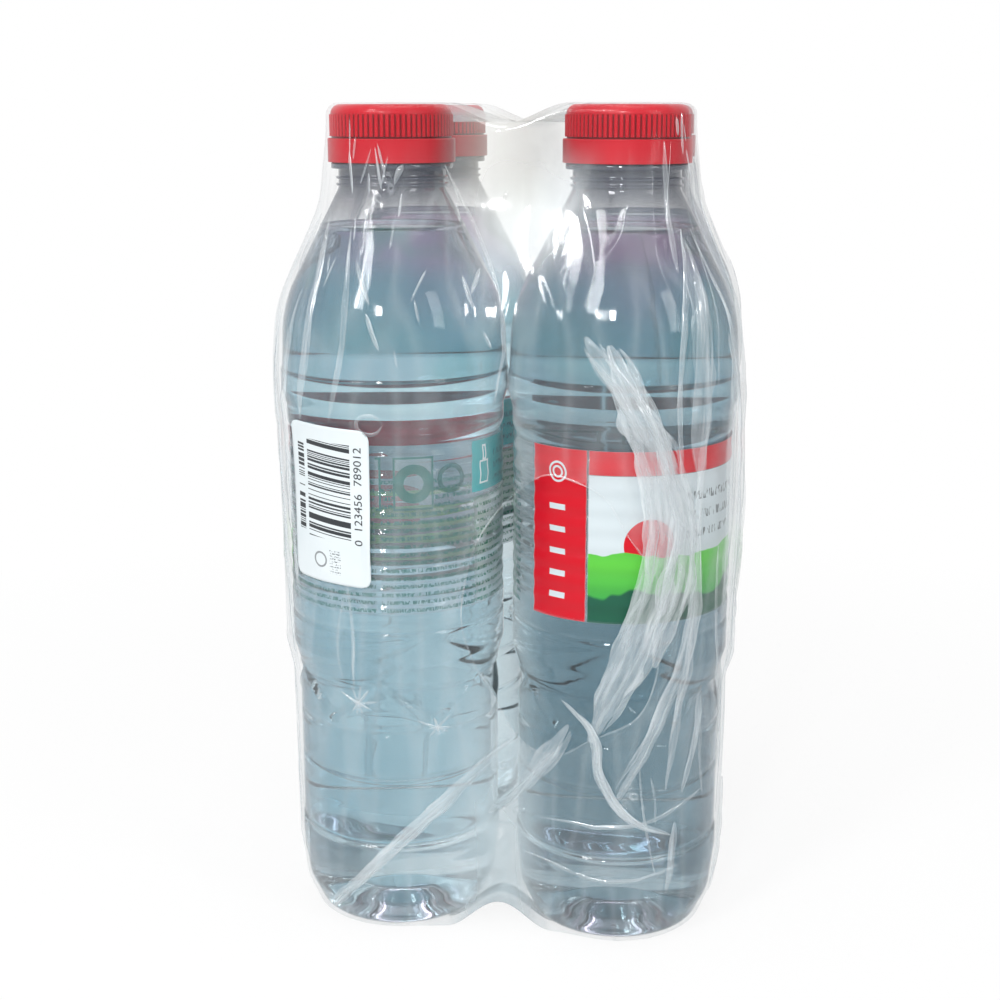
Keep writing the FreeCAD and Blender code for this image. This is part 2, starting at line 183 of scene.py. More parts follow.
def section_path(node, turn, downwards=False):
    """Radius and height along a node's half section round the front left bottle's axis.

    It follows the outside from the axis at the bottom up to the highest point, or from the axis at the top
    down to the axis at the bottom.
    """
    bm = bmesh.new()
    bm.from_mesh(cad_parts[node].data)
    bmesh.ops.remove_doubles(bm, verts=bm.verts, dist=1e-6)
    bmesh.ops.translate(bm, verts=bm.verts, vec=-AXES["front_left"])
    bmesh.ops.rotate(bm, verts=bm.verts, cent=(0, 0, 0), matrix=Matrix.Rotation(-turn, 3, "Z"))
    bmesh.ops.bisect_plane(bm, geom=bm.verts[:] + bm.edges[:] + bm.faces[:], plane_co=(0, 0, 0), plane_no=(0, 1, 0))
    bmesh.ops.remove_doubles(bm, verts=[v for v in bm.verts if abs(v.co.y) < 1e-6], dist=2e-5)
    edges = {e for e in bm.edges if all(abs(v.co.y) < 1e-6 for v in e.verts)}
    across = [e for e in edges if min(v.co.x for v in e.verts) <= 0 < max(v.co.x for v in e.verts)]
    up = -1 if downwards else 1
    first = min(across, key=lambda e: up * e.verts[0].co.z)
    at = max(first.verts, key=lambda v: v.co.x)
    end = max(up * v.co.z for e in edges for v in e.verts) - 1e-5
    path, seen = [(0.0, at.co.z)], {first.other_vert(at)}
    while at is not None and at.co.x > 0:
        seen.add(at)
        path.append((at.co.x, at.co.z))
        if not downwards and at.co.z > end:
            break
        ahead = [e.other_vert(at) for e in at.link_edges if e in edges and e.other_vert(at) not in seen]
        at = max(ahead, key=lambda v: v.co.x + 0.2 * up * v.co.z) if ahead else None
    bm.free()
    return path


def thinned(path, least):
    """The path without points that lie closer than least to the last one kept."""
    kept = [path[0]]
    for point in path[1:-1]:
        if math.dist(point, kept[-1]) >= least:
            kept.append(point)
    kept.append(path[-1])
    return kept


def filled(path, longest):
    """The path with extra points so that no step is longer than longest."""
    result = [path[0]]
    for before, after in zip(path, path[1:]):
        steps = max(1, math.ceil(math.dist(before, after) / longest))
        for i in range(1, steps + 1):
            share_ = i / steps
            result.append((before[0] + (after[0] - before[0]) * share_, before[1] + (after[1] - before[1]) * share_))
    return result


def spun(path, segments):
    """Surface of revolution of a (radius, height) path about Z."""
    bm = bmesh.new()
    verts = [bm.verts.new((r, 0, z)) for r, z in path]
    edges = [bm.edges.new(pair) for pair in zip(verts, verts[1:])]
    bmesh.ops.spin(bm, geom=verts + edges, cent=(0, 0, 0), axis=(0, 0, 1), angle=2 * math.pi,
                   steps=segments, use_merge=True, use_duplicate=False)
    bmesh.ops.remove_doubles(bm, verts=bm.verts, dist=1e-6)
    bmesh.ops.dissolve_degenerate(bm, edges=bm.edges, dist=1e-7)
    bmesh.ops.recalc_face_normals(bm, faces=bm.faces)
    return bm


def moved_copy(mesh, name, shift):
    copy = mesh.copy()
    copy.name = name
    copy.transform(Matrix.Translation(shift))
    return copy


# ---- the film's surface --------------------------------------------------------------------------------------
GIRTH_RADIUS = 31.0 * MM     # radius round a bottle at which a place along the pack's girth is measured
CAP_MIDDLE = 222 * MM        # height where the film is tight on the caps
SAG_START = 190 * MM         # height where the film starts to sag between the caps
LIFT_END = 26 * MM           # height up to which the film is drawn up between the feet
CAD_FOOT_ARCH = 5.0 * MM     # rise that the CAD film has between the feet already


class Sleeve:
    """Tight shape of the film: circles round the four bottle axes, joined by hollow arcs.

    A place on it is its length along the girth, from the middle of the front towards the right, and its
    height. All lengths are arrays.
    """

    def __init__(self):
        hollow = props("pack_film").hollow
        self.depth = (PITCH_HALF ** 2 - hollow ** 2) / (2 * hollow)
        self.turn = math.atan(PITCH_HALF / self.depth)
        self.reach = math.hypot(PITCH_HALF, self.depth)
        self.half_side = (self.reach - GIRTH_RADIUS) * self.turn
        self.quarter = 2 * self.half_side + GIRTH_RADIUS * (math.pi / 2 + 2 * self.turn)
        self.path = section_path("film", math.radians(225), downwards=True)
        side = [(r, z) for r, z in self.path if r > 12 * MM]
        self.low, self.high = self.path[-1][1], self.path[0][1]
        side.sort(key=lambda point: point[1])
        self.heights = np.array([z for _, z in side])
        self.radii = np.array([r for r, _ in side])

    def radius(self, height):
        return np.interp(height, self.heights, self.radii)

    def base(self, along, radius, height):
        """Place and outward direction of points at a radius round the bottle axes."""
        side = np.round(along / self.quarter)
        local = along - side * self.quarter
        sign = np.where(local < 0, -1.0, 1.0)
        span = np.abs(local)
        on_side = span < self.half_side
        bend = span / (self.reach - GIRTH_RADIUS)
        turn = (span - self.half_side) / GIRTH_RADIUS - self.turn
        x = sign * np.where(on_side, (self.reach - radius) * np.sin(bend), PITCH_HALF + radius * np.sin(turn))
        y = np.where(on_side, (self.reach - radius) * np.cos(bend) - self.depth, -radius * np.cos(turn)) - PITCH_HALF
        out_x = sign * np.where(on_side, -np.sin(bend), np.sin(turn))
        out_y = np.where(on_side, -np.cos(bend), -np.cos(turn))
        c, n = np.cos(side * math.pi / 2), np.sin(side * math.pi / 2)
        places = np.stack([x * c - y * n, x * n + y * c, height], axis=1)
        outward = np.stack([out_x * c - out_y * n, out_x * n + out_y * c, np.zeros_like(x)], axis=1)
        return places, outward

    def place(self, along, height, lift):
        """Points on the loose film, raised off it by lift."""
        places, outward = self.base(along, self.radius(height), height)
        relief = film_relief(places, along)
        return drawn_in(places + outward * (relief + lift)[:, None], self)


def bump(value, middle, reach):
    """1 at the middle, falling smoothly to 0 at reach."""
    share_ = np.clip(1 - np.abs(value - middle) / reach, 0, 1)
    return share_ * share_ * (3 - 2 * share_)


def noise_at(points, scale, seed=0.0):
    """Perlin noise at points whose coordinates are multiplied by scale."""
    return np.array([noise.noise(Vector((x * scale[0] + seed, y * scale[1], z * scale[2])))
                     for x, y, z in points.tolist()])


def crests(values, sharpness):
    """Narrow ridges where a noise crosses zero."""
    return np.clip(1 - np.abs(values) * sharpness, 0, 1) ** 2


def film_relief(places, along):
    """How far the loose film stands off its tight shape."""
    slack = props("pack_film").slack
    height = places[:, 2]
    waves = noise_at(places, (38, 38, 16)) * 0.8 + 0.25
    tall = crests(noise_at(places, (95, 95, 14), 7.0), 3.0)
    patchy = np.clip(noise_at(places, (30, 30, 18), 3.0) + 0.35, 0, 1)
    relief = slack * (np.clip(waves, 0, None) + 0.75 * tall * patchy)
    relief += 1.5 * MM * bump(along, 78 * MM, 26 * MM) * bump(height, 128 * MM, 45 * MM)
    relief += 1.0 * MM * bump(along, -74 * MM, 20 * MM) * bump(height, 165 * MM, 45 * MM)
    stuck = bump(along, -46 * MM, 22 * MM) * bump(height, 126 * MM, 32 * MM)
    calm = bump(height, CAP_MIDDLE, 14 * MM)
    return relief * (1 - np.clip(1.6 * stuck, 0, 1)) * (1 - 0.75 * calm)


def drawn_in(places, sleeve):
    """Sags the film between the caps and draws it up between the feet."""
    settings = props("pack_film")
    x, y, z = places.T
    cap_half = (CAP_HIGH.x - CAP_LOW.x) / 2
    reach = PITCH_HALF - cap_half + 3 * MM
    across = np.maximum(bump(x, 0, reach), bump(y, 0, reach))
    cad_sag = sleeve.high - top_of_valley()
    top_share = np.clip((z - SAG_START) / (sleeve.high - SAG_START), 0, 1)
    z = z - (cad_sag + settings.top_sag) * across * top_share ** 2
    feet = np.maximum(bump(x, 0, 15 * MM), bump(y, 0, 15 * MM))
    low_share = np.clip((LIFT_END - z) / LIFT_END, 0, 1)
    z = z + (CAD_FOOT_ARCH + settings.foot_lift) * feet * low_share ** 2
    return np.stack([x, y, z], axis=1)


def top_of_valley():
    """Lowest height of the CAD film's upper side, midway between the caps."""
    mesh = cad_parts["film"].data
    near = [v.co.z for v in mesh.vertices if abs(v.co.y) < 1 * MM and v.co.z > CAP_LOW.z]
    return max(near)


def smooth_line(points, rounds):
    """An open line with its corners cut, rounds times."""
    for _ in range(rounds):
        cut = [points[0]]
        for a, b in zip(points, points[1:]):
            cut.append(tuple(0.75 * p + 0.25 * q for p, q in zip(a, b)))
            cut.append(tuple(0.25 * p + 0.75 * q for p, q in zip(a, b)))
        cut.append(points[-1])
        points = cut
    return points


def inside_outline(x, y, outline):
    """Even-odd test of points against a closed outline."""
    inside = np.zeros(len(x), dtype=bool)
    for (x0, y0), (x1, y1) in zip(outline, outline[1:] + outline[:1]):
        if y0 == y1:
            continue
        crossing = ((y0 > y) != (y1 > y)) & (x < (x1 - x0) * (y - y0) / (y1 - y0) + x0)
        inside ^= crossing
    return inside


def drawn_to(x, y, outline, reach):
    """Points nearer to an outline than reach, moved onto it."""
    best = np.full(len(x), reach)
    new_x, new_y = x.copy(), y.copy()
    for (x0, y0), (x1, y1) in zip(outline, outline[1:] + outline[:1]):
        dx, dy = x1 - x0, y1 - y0
        share_ = np.clip(((x - x0) * dx + (y - y0) * dy) / (dx * dx + dy * dy), 0, 1)
        near_x, near_y = x0 + share_ * dx, y0 + share_ * dy
        gap = np.hypot(x - near_x, y - near_y)
        nearer = gap < best
        best = np.where(nearer, gap, best)
        new_x, new_y = np.where(nearer, near_x, new_x), np.where(nearer, near_y, new_y)
    return new_x, new_y


# gathered strips of film: centre line as lengths along the girth and heights in millimetres, half width, rise of
# the arch, haze in the middle and along the edges
STRIPS = [
    ([(30, 170), (44, 136), (45, 108), (26, 62)], 5.0, 0.16, 0.40, 0.62),
    ([(24, 172), (36, 154), (48, 138)], 2.6, 0.5, 0.30, 0.55),
    ([(42, 148), (54, 118), (43, 84)], 3.4, 0.3, 0.36, 0.5),
    ([(46, 142), (58, 104), (46, 68), (33, 44)], 1.9, 0.5, 0.26, 0.55),
    ([(56, 124), (54, 86), (48, 48)], 1.3, 0.5, 0.20, 0.5),
    ([(18, 73), (28, 64), (28, 52), (36, 40), (50, 34)], 1.0, 0.6, 0.42, 0.66),
    ([(-52, 4), (-28, 28), (4, 60)], 1.8, 0.3, 0.34, 0.55),
    ([(20, 66), (10, 50), (-2, 38)], 2.2, 0.35, 0.24, 0.5),
    ([(55, 198), (47, 166), (50, 134)], 0.8, 0.7, 0.25, 0.55),
    ([(55, 196), (55, 134)], 3.2, 0.15, 0.12, 0.2),
    ([(60, 198), (70, 164), (74, 98)], 0.8, 0.7, 0.25, 0.5),
    ([(67, 168), (66, 92)], 1.6, 0.4, 0.2, 0.4),
    ([(-54, 200), (-49, 176), (-54, 148)], 1.3, 0.4, 0.22, 0.55),
    ([(-42, 198), (-38, 172), (-44, 148)], 0.8, 0.5, 0.12, 0.3),
    ([(-56, 182), (-62, 138), (-58, 94)], 1.1, 0.5, 0.2, 0.5),
    ([(-64, 176), (-68, 128), (-62, 80)], 1.5, 0.4, 0.2, 0.45),
    ([(-13, 214), (4, 176), (0, 154)], 0.5, 0.8, 0.25, 0.5),
    ([(8, 27), (30, 20), (56, 25)], 0.5, 0.6, 0.18, 0.4),
    ([(12, 38), (38, 37), (62, 45)], 0.6, 0.6, 0.25, 0.5),
]

# knots where short creases cross: place, number of creases and their half length
KNOTS = [((-38, 70), 5, 7), ((-16, 63), 4, 6)]

# creases that hang down from one place: place, number and length
HANGING = [((-40, 104), 3, 30)]

# patches of short creases that catch the light: middle, half size, number
GLINTS = [((-28, 185), (20, 28), 14), ((-34, 214), (12, 8), 8), ((62, 218), (6, 8), 4), ((-2, 184), (6, 22), 4)]

# bubbles under the film: middle of the patch, spread, number and largest radius
BUBBLES = [((-33, 148), 0, 1, 3.5), ((8, 46), 7, 8, 1.8), ((37, 47), 5, 8, 1.2), ((-31, 208), 5, 4, 2.0)]


OPENING_POINTS = 120


def opening_outline():
    """The front opening in millimetres: an oval of the CAD's size, further to the right, with an uneven edge."""
    settings = props("pack_film")
    line = []
    for k in range(OPENING_POINTS):
        t = 2 * math.pi * k / OPENING_POINTS
        x = settings.open_width / 2 * (math.cos(t) + 0.07 * math.cos(3 * t + 0.8) + 0.03 * math.sin(7 * t))
        z = settings.open_height / 2 * (math.sin(t) + 0.04 * math.sin(4 * t + 0.5) + 0.02 * math.cos(6 * t))
        line.append(((settings.open_shift + x) / MM, (settings.open_middle + z) / MM))
    return line


# ---- node helpers --------------------------------------------------------------------------------------------
def new_material(name):
    material = bpy.data.materials.new(name)
    material.use_nodes = True
    material.node_tree.nodes.clear()
    return material


def add_node(tree, kind, values=None, **attributes):
    node = tree.nodes.new(kind)
    for key, value in attributes.items():
        setattr(node, key, value)
    for key, value in (values or {}).items():
        node.inputs[key].default_value = value
    return node


def math_node(tree, operation, a, b=None, c=None, clamp=False):
    node = add_node(tree, "ShaderNodeMath", operation=operation, use_clamp=clamp)
    for i, value in enumerate((a, b, c)):
        if value is None:
            continue
        if isinstance(value, (int, float)):
            node.inputs[i].default_value = value
        else:
            tree.links.new(value, node.inputs[i])
    return node.outputs[0]


def times(tree, a, b, clamp=False):
    return math_node(tree, "MULTIPLY", a, b, clamp=clamp)


def plus(tree, a, b, clamp=False):
    return math_node(tree, "ADD", a, b, clamp=clamp)


def minus(tree, a, b, clamp=False):
    return math_node(tree, "SUBTRACT", a, b, clamp=clamp)


def times_plus(tree, a, b, c, clamp=False):
    """a times b, plus c."""
    return math_node(tree, "MULTIPLY_ADD", a, b, c, clamp=clamp)


def rgba(values):
    return (*values, 1.0)


def mix_colour(tree, share_, low, high):
    """Colour that goes from low to high with the share."""
    node = add_node(tree, "ShaderNodeMix", data_type="RGBA")
    for index, value in ((0, share_), (6, low), (7, high)):    # the mix node's colour sockets
        if isinstance(value, (tuple, float)):
            node.inputs[index].default_value = value
        else:
            tree.links.new(value, node.inputs[index])
    return node.outputs[2]


def object_part(tree, axis):
    """One Object coordinate."""
    coordinates = add_node(tree, "ShaderNodeTexCoord")
    split = add_node(tree, "ShaderNodeSeparateXYZ")
    tree.links.new(coordinates.outputs["Object"], split.inputs[0])
    return split.outputs[axis]


def bump_normal(tree, height, strength, distance):
    node = add_node(tree, "ShaderNodeBump", {"Strength": strength, "Distance": distance})
    tree.links.new(height, node.inputs["Height"])
    return node.outputs[0]


def surface(name, values):
    """New material with a Principled shader: the material, its tree and the shader."""
    material = new_material(name)
    tree = material.node_tree
    out = add_node(tree, "ShaderNodeOutputMaterial")
    shader = add_node(tree, "ShaderNodeBsdfPrincipled", values)
    tree.links.new(shader.outputs[0], out.inputs[0])
    return material, tree, shader


# ---- node groups ---------------------------------------------------------------------------------------------
def new_group(name, inputs, outputs):
    """Shader node group with inputs, given as names and values (vectors as tuples), and float outputs."""
    group = bpy.data.node_groups.new(name, "ShaderNodeTree")
    for socket, value in inputs.items():
        kind = "NodeSocketVector" if isinstance(value, tuple) else "NodeSocketFloat"
        item = group.interface.new_socket(name=socket, in_out="INPUT", socket_type=kind)
        item.default_value = value
    for socket in outputs:
        group.interface.new_socket(name=socket, in_out="OUTPUT", socket_type="NodeSocketFloat")
    return group, group.nodes.new("NodeGroupInput").outputs, group.nodes.new("NodeGroupOutput").inputs


def built_once(build):
    """The node group with the function's name, built when it is first asked for."""
    return lambda: bpy.data.node_groups.get(build.__name__) or build()


@built_once
def print_field():
    """Mask of one printed field, between two sides and between a bottom and a top."""
    group, given, result = new_group("print_field", {
        "Across": 0, "Up": 0, "Left": 0, "Right": 1, "Bottom": 0, "Top": 1, "Crispness": 400}, ("Mask",))
    sides = [(given["Across"], given["Left"]), (given["Right"], given["Across"]), (given["Up"], given["Bottom"]),
             (given["Top"], given["Up"])]
    mask = None
    for high, low in sides:
        gap = minus(group, high, low)
        edge = times(group, gap, given["Crispness"], clamp=True)
        mask = edge if mask is None else times(group, mask, edge)
    group.links.new(mask, result["Mask"])
    return group


@built_once
def text_rows():
    """Mask of rows of short dashes that read as fine print from afar."""
    group, given, result = new_group("text_rows", {"Across": 0, "Up": 0, "Rows": 20, "Letters": 200, "Fill": 0.5},
                                     ("Mask",))
    row = times(group, given["Up"], given["Rows"])
    line = math_node(group, "FLOOR", row)
    within = minus(group, row, line)
    body = times(group, math_node(group, "GREATER_THAN", within, 0.28), math_node(group, "LESS_THAN", within, 0.74))
    letter = times(group, given["Across"], given["Letters"])
    place = group.nodes.new("ShaderNodeCombineXYZ")
    group.links.new(letter, place.inputs[0])
    group.links.new(times(group, line, 17.31), place.inputs[1])
    group.links.new(times(group, row, 2.0), place.inputs[2])
    strokes = add_node(group, "ShaderNodeTexNoise", {"Scale": 1.0, "Detail": 1.0})
    group.links.new(place.outputs[0], strokes.inputs["Vector"])
    inked = math_node(group, "GREATER_THAN", strokes.outputs["Fac"], given["Fill"])
    group.links.new(times(group, body, inked), result["Mask"])
    return group


@built_once
def stretched_noise():
    """Noise over coordinates that are stretched first."""
    group, given, result = new_group("stretched_noise", {
        "Place": (0, 0, 0), "Stretch": (1, 1, 1), "Scale": 60, "Detail": 2}, ("Value",))
    mapping = add_node(group, "ShaderNodeMapping")
    noise = add_node(group, "ShaderNodeTexNoise")
    for source, target in ((given["Place"], mapping.inputs["Vector"]), (given["Stretch"], mapping.inputs["Scale"]),
                           (mapping.outputs[0], noise.inputs["Vector"]), (given["Scale"], noise.inputs["Scale"]),
                           (given["Detail"], noise.inputs["Detail"]), (noise.outputs["Fac"], result["Value"])):
        group.links.new(source, target)
    return group


def share_between(group, value, low, high):
    """0 up to the low value, rising to 1 at the high one."""
    return math_node(group, "DIVIDE", minus(group, value, low), minus(group, high, low), clamp=True)


@built_once
def height_mask():
    """0 below the low height, rising to 1 at the high one."""
    group, given, result = new_group("height_mask", {"Height": 0, "Low": 0, "High": 1}, ("Mask",))
    group.links.new(share_between(group, given["Height"], given["Low"], given["High"]), result["Mask"])
    return group


@built_once
def beside_middle():
    """1 by the middle plane of the pack at the full height, 0 away from the plane and at the empty height."""
    group, given, result = new_group("beside_middle", {
        "Across": 0, "Height": 0, "Width": 12 * MM, "Reach": 1.3, "Empty": 1, "Full": 0}, ("Mask",))
    away = math_node(group, "DIVIDE", math_node(group, "ABSOLUTE", given["Across"]), given["Width"])
    near = minus(group, given["Reach"], away, clamp=True)
    level = share_between(group, given["Height"], given["Empty"], given["Full"])
    group.links.new(times(group, near, level), result["Mask"])
    return group


def place_group(tree, group, values, **links):
    node = add_node(tree, "ShaderNodeGroup", node_tree=group)
    for name, value in values.items():
        node.inputs[name].default_value = value
    for name, socket in links.items():
        tree.links.new(socket, node.inputs[name])
    return node.outputs[0]


def noise_node(tree, scale, detail=2.0, stretch=(1, 1, 1), source="Object"):
    coordinates = add_node(tree, "ShaderNodeTexCoord")
    return place_group(tree, stretched_noise(), {"Scale": scale, "Detail": detail, "Stretch": stretch},
                       Place=coordinates.outputs[source])


def height_share(tree, low, high):
    """Mask of what is above a height, fading in from the low to the high value."""
    return place_group(tree, height_mask(), {"Low": low, "High": high}, Height=object_part(tree, 2))


def inner_side(tree, empty=LABEL_HIGH.z + 15 * MM, full=LABEL_HIGH.z, reach=1.3):
    """Mask of what faces the middle of the pack; as it stands, of what is below the shoulders."""
    return place_group(tree, beside_middle(), {"Empty": empty, "Full": full, "Reach": reach},
                       Across=object_part(tree, 0), Height=object_part(tree, 2))


class Print:
    """Colour and cover of a printed sheet, built up field by field."""

    def __init__(self, tree, colour_, cover):
        self.tree = tree
        uv = add_node(tree, "ShaderNodeUVMap", uv_map="print")
        split = add_node(tree, "ShaderNodeSeparateXYZ")
        tree.links.new(uv.outputs[0], split.inputs[0])
        self.across, self.up = split.outputs[0], split.outputs[1]
        self.colour, self.cover = rgba(colour_), cover

    def mask(self, left, right, bottom, top, crispness=400.0):
        return place_group(self.tree, print_field(), {
            "Left": left, "Right": right, "Bottom": bottom, "Top": top, "Crispness": crispness},
            Across=self.across, Up=self.up)

    def rows(self, rows, letters, fill):
        return place_group(self.tree, text_rows(), {"Rows": rows, "Letters": letters, "Fill": fill},
                           Across=self.across, Up=self.up)

    def both(self, one, other):
        return times(self.tree, one, other)

    def round_mark(self, across, up, radius, width, aspect):
        """Mask of a ring; aspect is the sheet's width over its height."""
        dx = times(self.tree, minus(self.tree, self.across, across), aspect)
        dy = minus(self.tree, self.up, up)
        far = math_node(self.tree, "SQRT", plus(self.tree, self.both(dx, dx), self.both(dy, dy)))
        off = math_node(self.tree, "ABSOLUTE", minus(self.tree, far, radius))
        return math_node(self.tree, "LESS_THAN", off, width)

    def frame(self, left, right, bottom, top, line, aspect):
        """Mask of a thin rectangular frame."""
        outer = self.mask(left, right, bottom, top, crispness=2000.0)
        inner = self.mask(left + line / aspect, right - line / aspect, bottom + line, top - line, crispness=2000.0)
        return minus(self.tree, outer, inner, clamp=True)

    def paint(self, mask, colour_, cover):
        """Lays a colour over what is there, where the mask is 1."""
        value = colour_ if not isinstance(colour_, tuple) else rgba(colour_[:3])
        self.colour = mix_colour(self.tree, mask, self.colour, value)
        kept = minus(self.tree, 1.0, mask)
        self.cover = times_plus(self.tree, mask, cover, self.both(kept, self.cover))


# ---- materials -----------------------------------------------------------------------------------------------
def clear_plastic():
    """Thin clear plastic: see-through face on, greyer and glossier at a glance. Painted light makes it paler by the
    middle of the pack below the shoulders; painted shade makes it near black and less clear at the neck and the ring
    under the cap.
    """
    material, tree, shader = surface("clear_plastic", {"Roughness": 0.05, "IOR": 1.7, "Metallic": 0.0})
    # painted shade: from just below the water's level up, the plastic is less clear and takes the near-black neck
    # tint
    neck = height_share(tree, WATER_TOP - 2 * MM, WATER_TOP + 6 * MM)
    # painted light: paler plastic by the middle of the pack, below the shoulders
    shade = mix_colour(tree, inner_side(tree), rgba(props("pack_bottles").plastic), rgba((0.80, 0.90, 0.92)))
    tree.links.new(mix_colour(tree, neck, shade, rgba(props("pack_bottles").neck)), shader.inputs["Base Color"])
    facing = add_node(tree, "ShaderNodeLayerWeight", {"Blend": 0.35})
    edge = math_node(tree, "POWER", facing.outputs["Facing"], 1.7)
    alpha = times_plus(tree, edge, 0.60, 0.06, clamp=True)
    # painted shade: the ring under the cap is less clear still, so the near-black tint shows most there
    ring = height_share(tree, CAP_LOW.z - 11 * MM, CAP_LOW.z - 5 * MM)
    alpha = times_plus(tree, neck, 0.22, alpha, clamp=True)
    alpha = times_plus(tree, ring, 0.38, alpha, clamp=True)
    cloud = times_plus(tree, noise_node(tree, 60.0), 0.06, alpha, clamp=True)
    tree.links.new(cloud, shader.inputs["Alpha"])
    ripple = noise_node(tree, 55.0, 1.0, (1, 1, 0.6))
    tree.links.new(bump_normal(tree, ripple, 0.25, 0.0012), shader.inputs["Normal"])
    return material


# The water's colour is painted light and shade. Bands by height stand for the back labels and the room seen through
# the water: pale over the label's top, then teal, then mauve, with random patches and flecks. The water is paler by
# the middle of the pack low down, and darker on the right-hand bottles; its blue-grey tint is partly painted shade
# too.
def clear_water():
    material, tree, shader = surface("clear_water", {
        "Base Color": rgba(props("pack_bottles").water), "Roughness": 0.0, "IOR": 1.33,
        "Transmission Weight": 1.0, "Metallic": 0.0})
    tint = props("pack_bottles").water

    def tinted(red, green, blue):
        return rgba((red * tint[0], green * tint[1], blue * tint[2]))

    patches = times_plus(tree, noise_node(tree, 38.0, 1.0), 5.0, -2.0, clamp=True)
    flecks = times_plus(tree, noise_node(tree, 75.0, 1.0, (1, 1, 0.5)), 6.0, -3.6, clamp=True)
    teal = mix_colour(tree, patches, tinted(0.62, 0.72, 0.78), tinted(0.42, 0.70, 0.70))
    mauve = mix_colour(tree, patches, tinted(1.10, 0.54, 0.68), tinted(0.84, 0.66, 0.74))
    mauve = mix_colour(tree, flecks, mauve, tinted(0.30, 0.66, 0.50))
    pale = mix_colour(tree, patches, tinted(1.5, 1.35, 1.25), tinted(1.2, 1.2, 1.15))
    low = mix_colour(tree, patches, tinted(1.30, 1.22, 1.16), tinted(1.00, 1.04, 1.02))
    settings = props("pack_bottles")
    # painted light: paler water by the middle of the pack, below the shoulders
    low = mix_colour(tree, inner_side(tree), low, tinted(1.8, 1.42, 1.3))
    shade = mix_colour(tree, height_share(tree, LABEL_HIGH.z - 1 * MM, LABEL_HIGH.z + 2 * MM), low, pale)
    shade = mix_colour(tree, height_share(tree, settings.pale_top - 1 * MM, settings.pale_top + 1 * MM), shade, teal)
    shade = mix_colour(tree, height_share(tree, settings.teal_top - 5 * MM, settings.teal_top + 5 * MM), shade, mauve)
    # painted shade: the right-hand bottles are darker, most up to the label's top and less above the pale band
    right = times(tree, object_part(tree, 0), 1 / (20 * MM), clamp=True)
    right_shade = add_node(tree, "ShaderNodeMix", data_type="RGBA", blend_type="MULTIPLY")
    lower = times_plus(tree, height_share(tree, LABEL_HIGH.z, settings.pale_top), -0.60, 0.90)
    tree.links.new(times(tree, right, lower), right_shade.inputs[0])
    tree.links.new(shade, right_shade.inputs[6])
    right_shade.inputs[7].default_value = (0.60, 0.63, 0.65, 1)
    tree.links.new(right_shade.outputs[2], shader.inputs["Base Color"])
    return material


def red_cap():
    red = props("pack_print").cap
    material, tree, shader = surface("red_cap", {"Metallic": 0.0, "IOR": 1.5, "Specular IOR Level": 0.18})
    mottle = noise_node(tree, 120.0, 3.0)
    shade = mix_colour(tree, mottle, rgba([0.88 * c for c in red]), rgba([1.16 * c for c in red]))
    spot = add_node(tree, "ShaderNodeCombineXYZ")
    for axis in (0, 1):
        off = minus(tree, math_node(tree, "ABSOLUTE", object_part(tree, axis)), PITCH_HALF)
        tree.links.new(off, spot.inputs[axis])
    far = add_node(tree, "ShaderNodeVectorMath", operation="LENGTH")
    tree.links.new(spot.outputs[0], far.inputs[0])
    # painted shade: the grooves between the grip ribs on the cap's side are coloured darker, down to a third of the
    # red, where shade falls
    grip = [math.dist(v.co.xy, AXES["front_left"].xy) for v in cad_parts["cap_front_left"].data.vertices
            if CAP_HIGH.z - 8 * MM < v.co.z < CAP_HIGH.z - 2.5 * MM]
    groove = times_plus(tree, far.outputs["Value"], -1 / (0.2 * MM), (max(grip) - 0.10 * MM) / (0.2 * MM),
                       clamp=True)
    side = minus(tree, 1.0, height_share(tree, CAP_HIGH.z - 2.9 * MM, CAP_HIGH.z - 2.4 * MM))
    groove_shade = times(tree, groove, side)
    tree.links.new(mix_colour(tree, groove_shade, shade, rgba([0.34 * c for c in red])), shader.inputs["Base Color"])
    tree.links.new(times_plus(tree, noise_node(tree, 400.0), 0.16, 0.27), shader.inputs["Roughness"])
    tree.links.new(bump_normal(tree, noise_node(tree, 1400.0), 0.12, 0.0002), shader.inputs["Normal"])
    return material


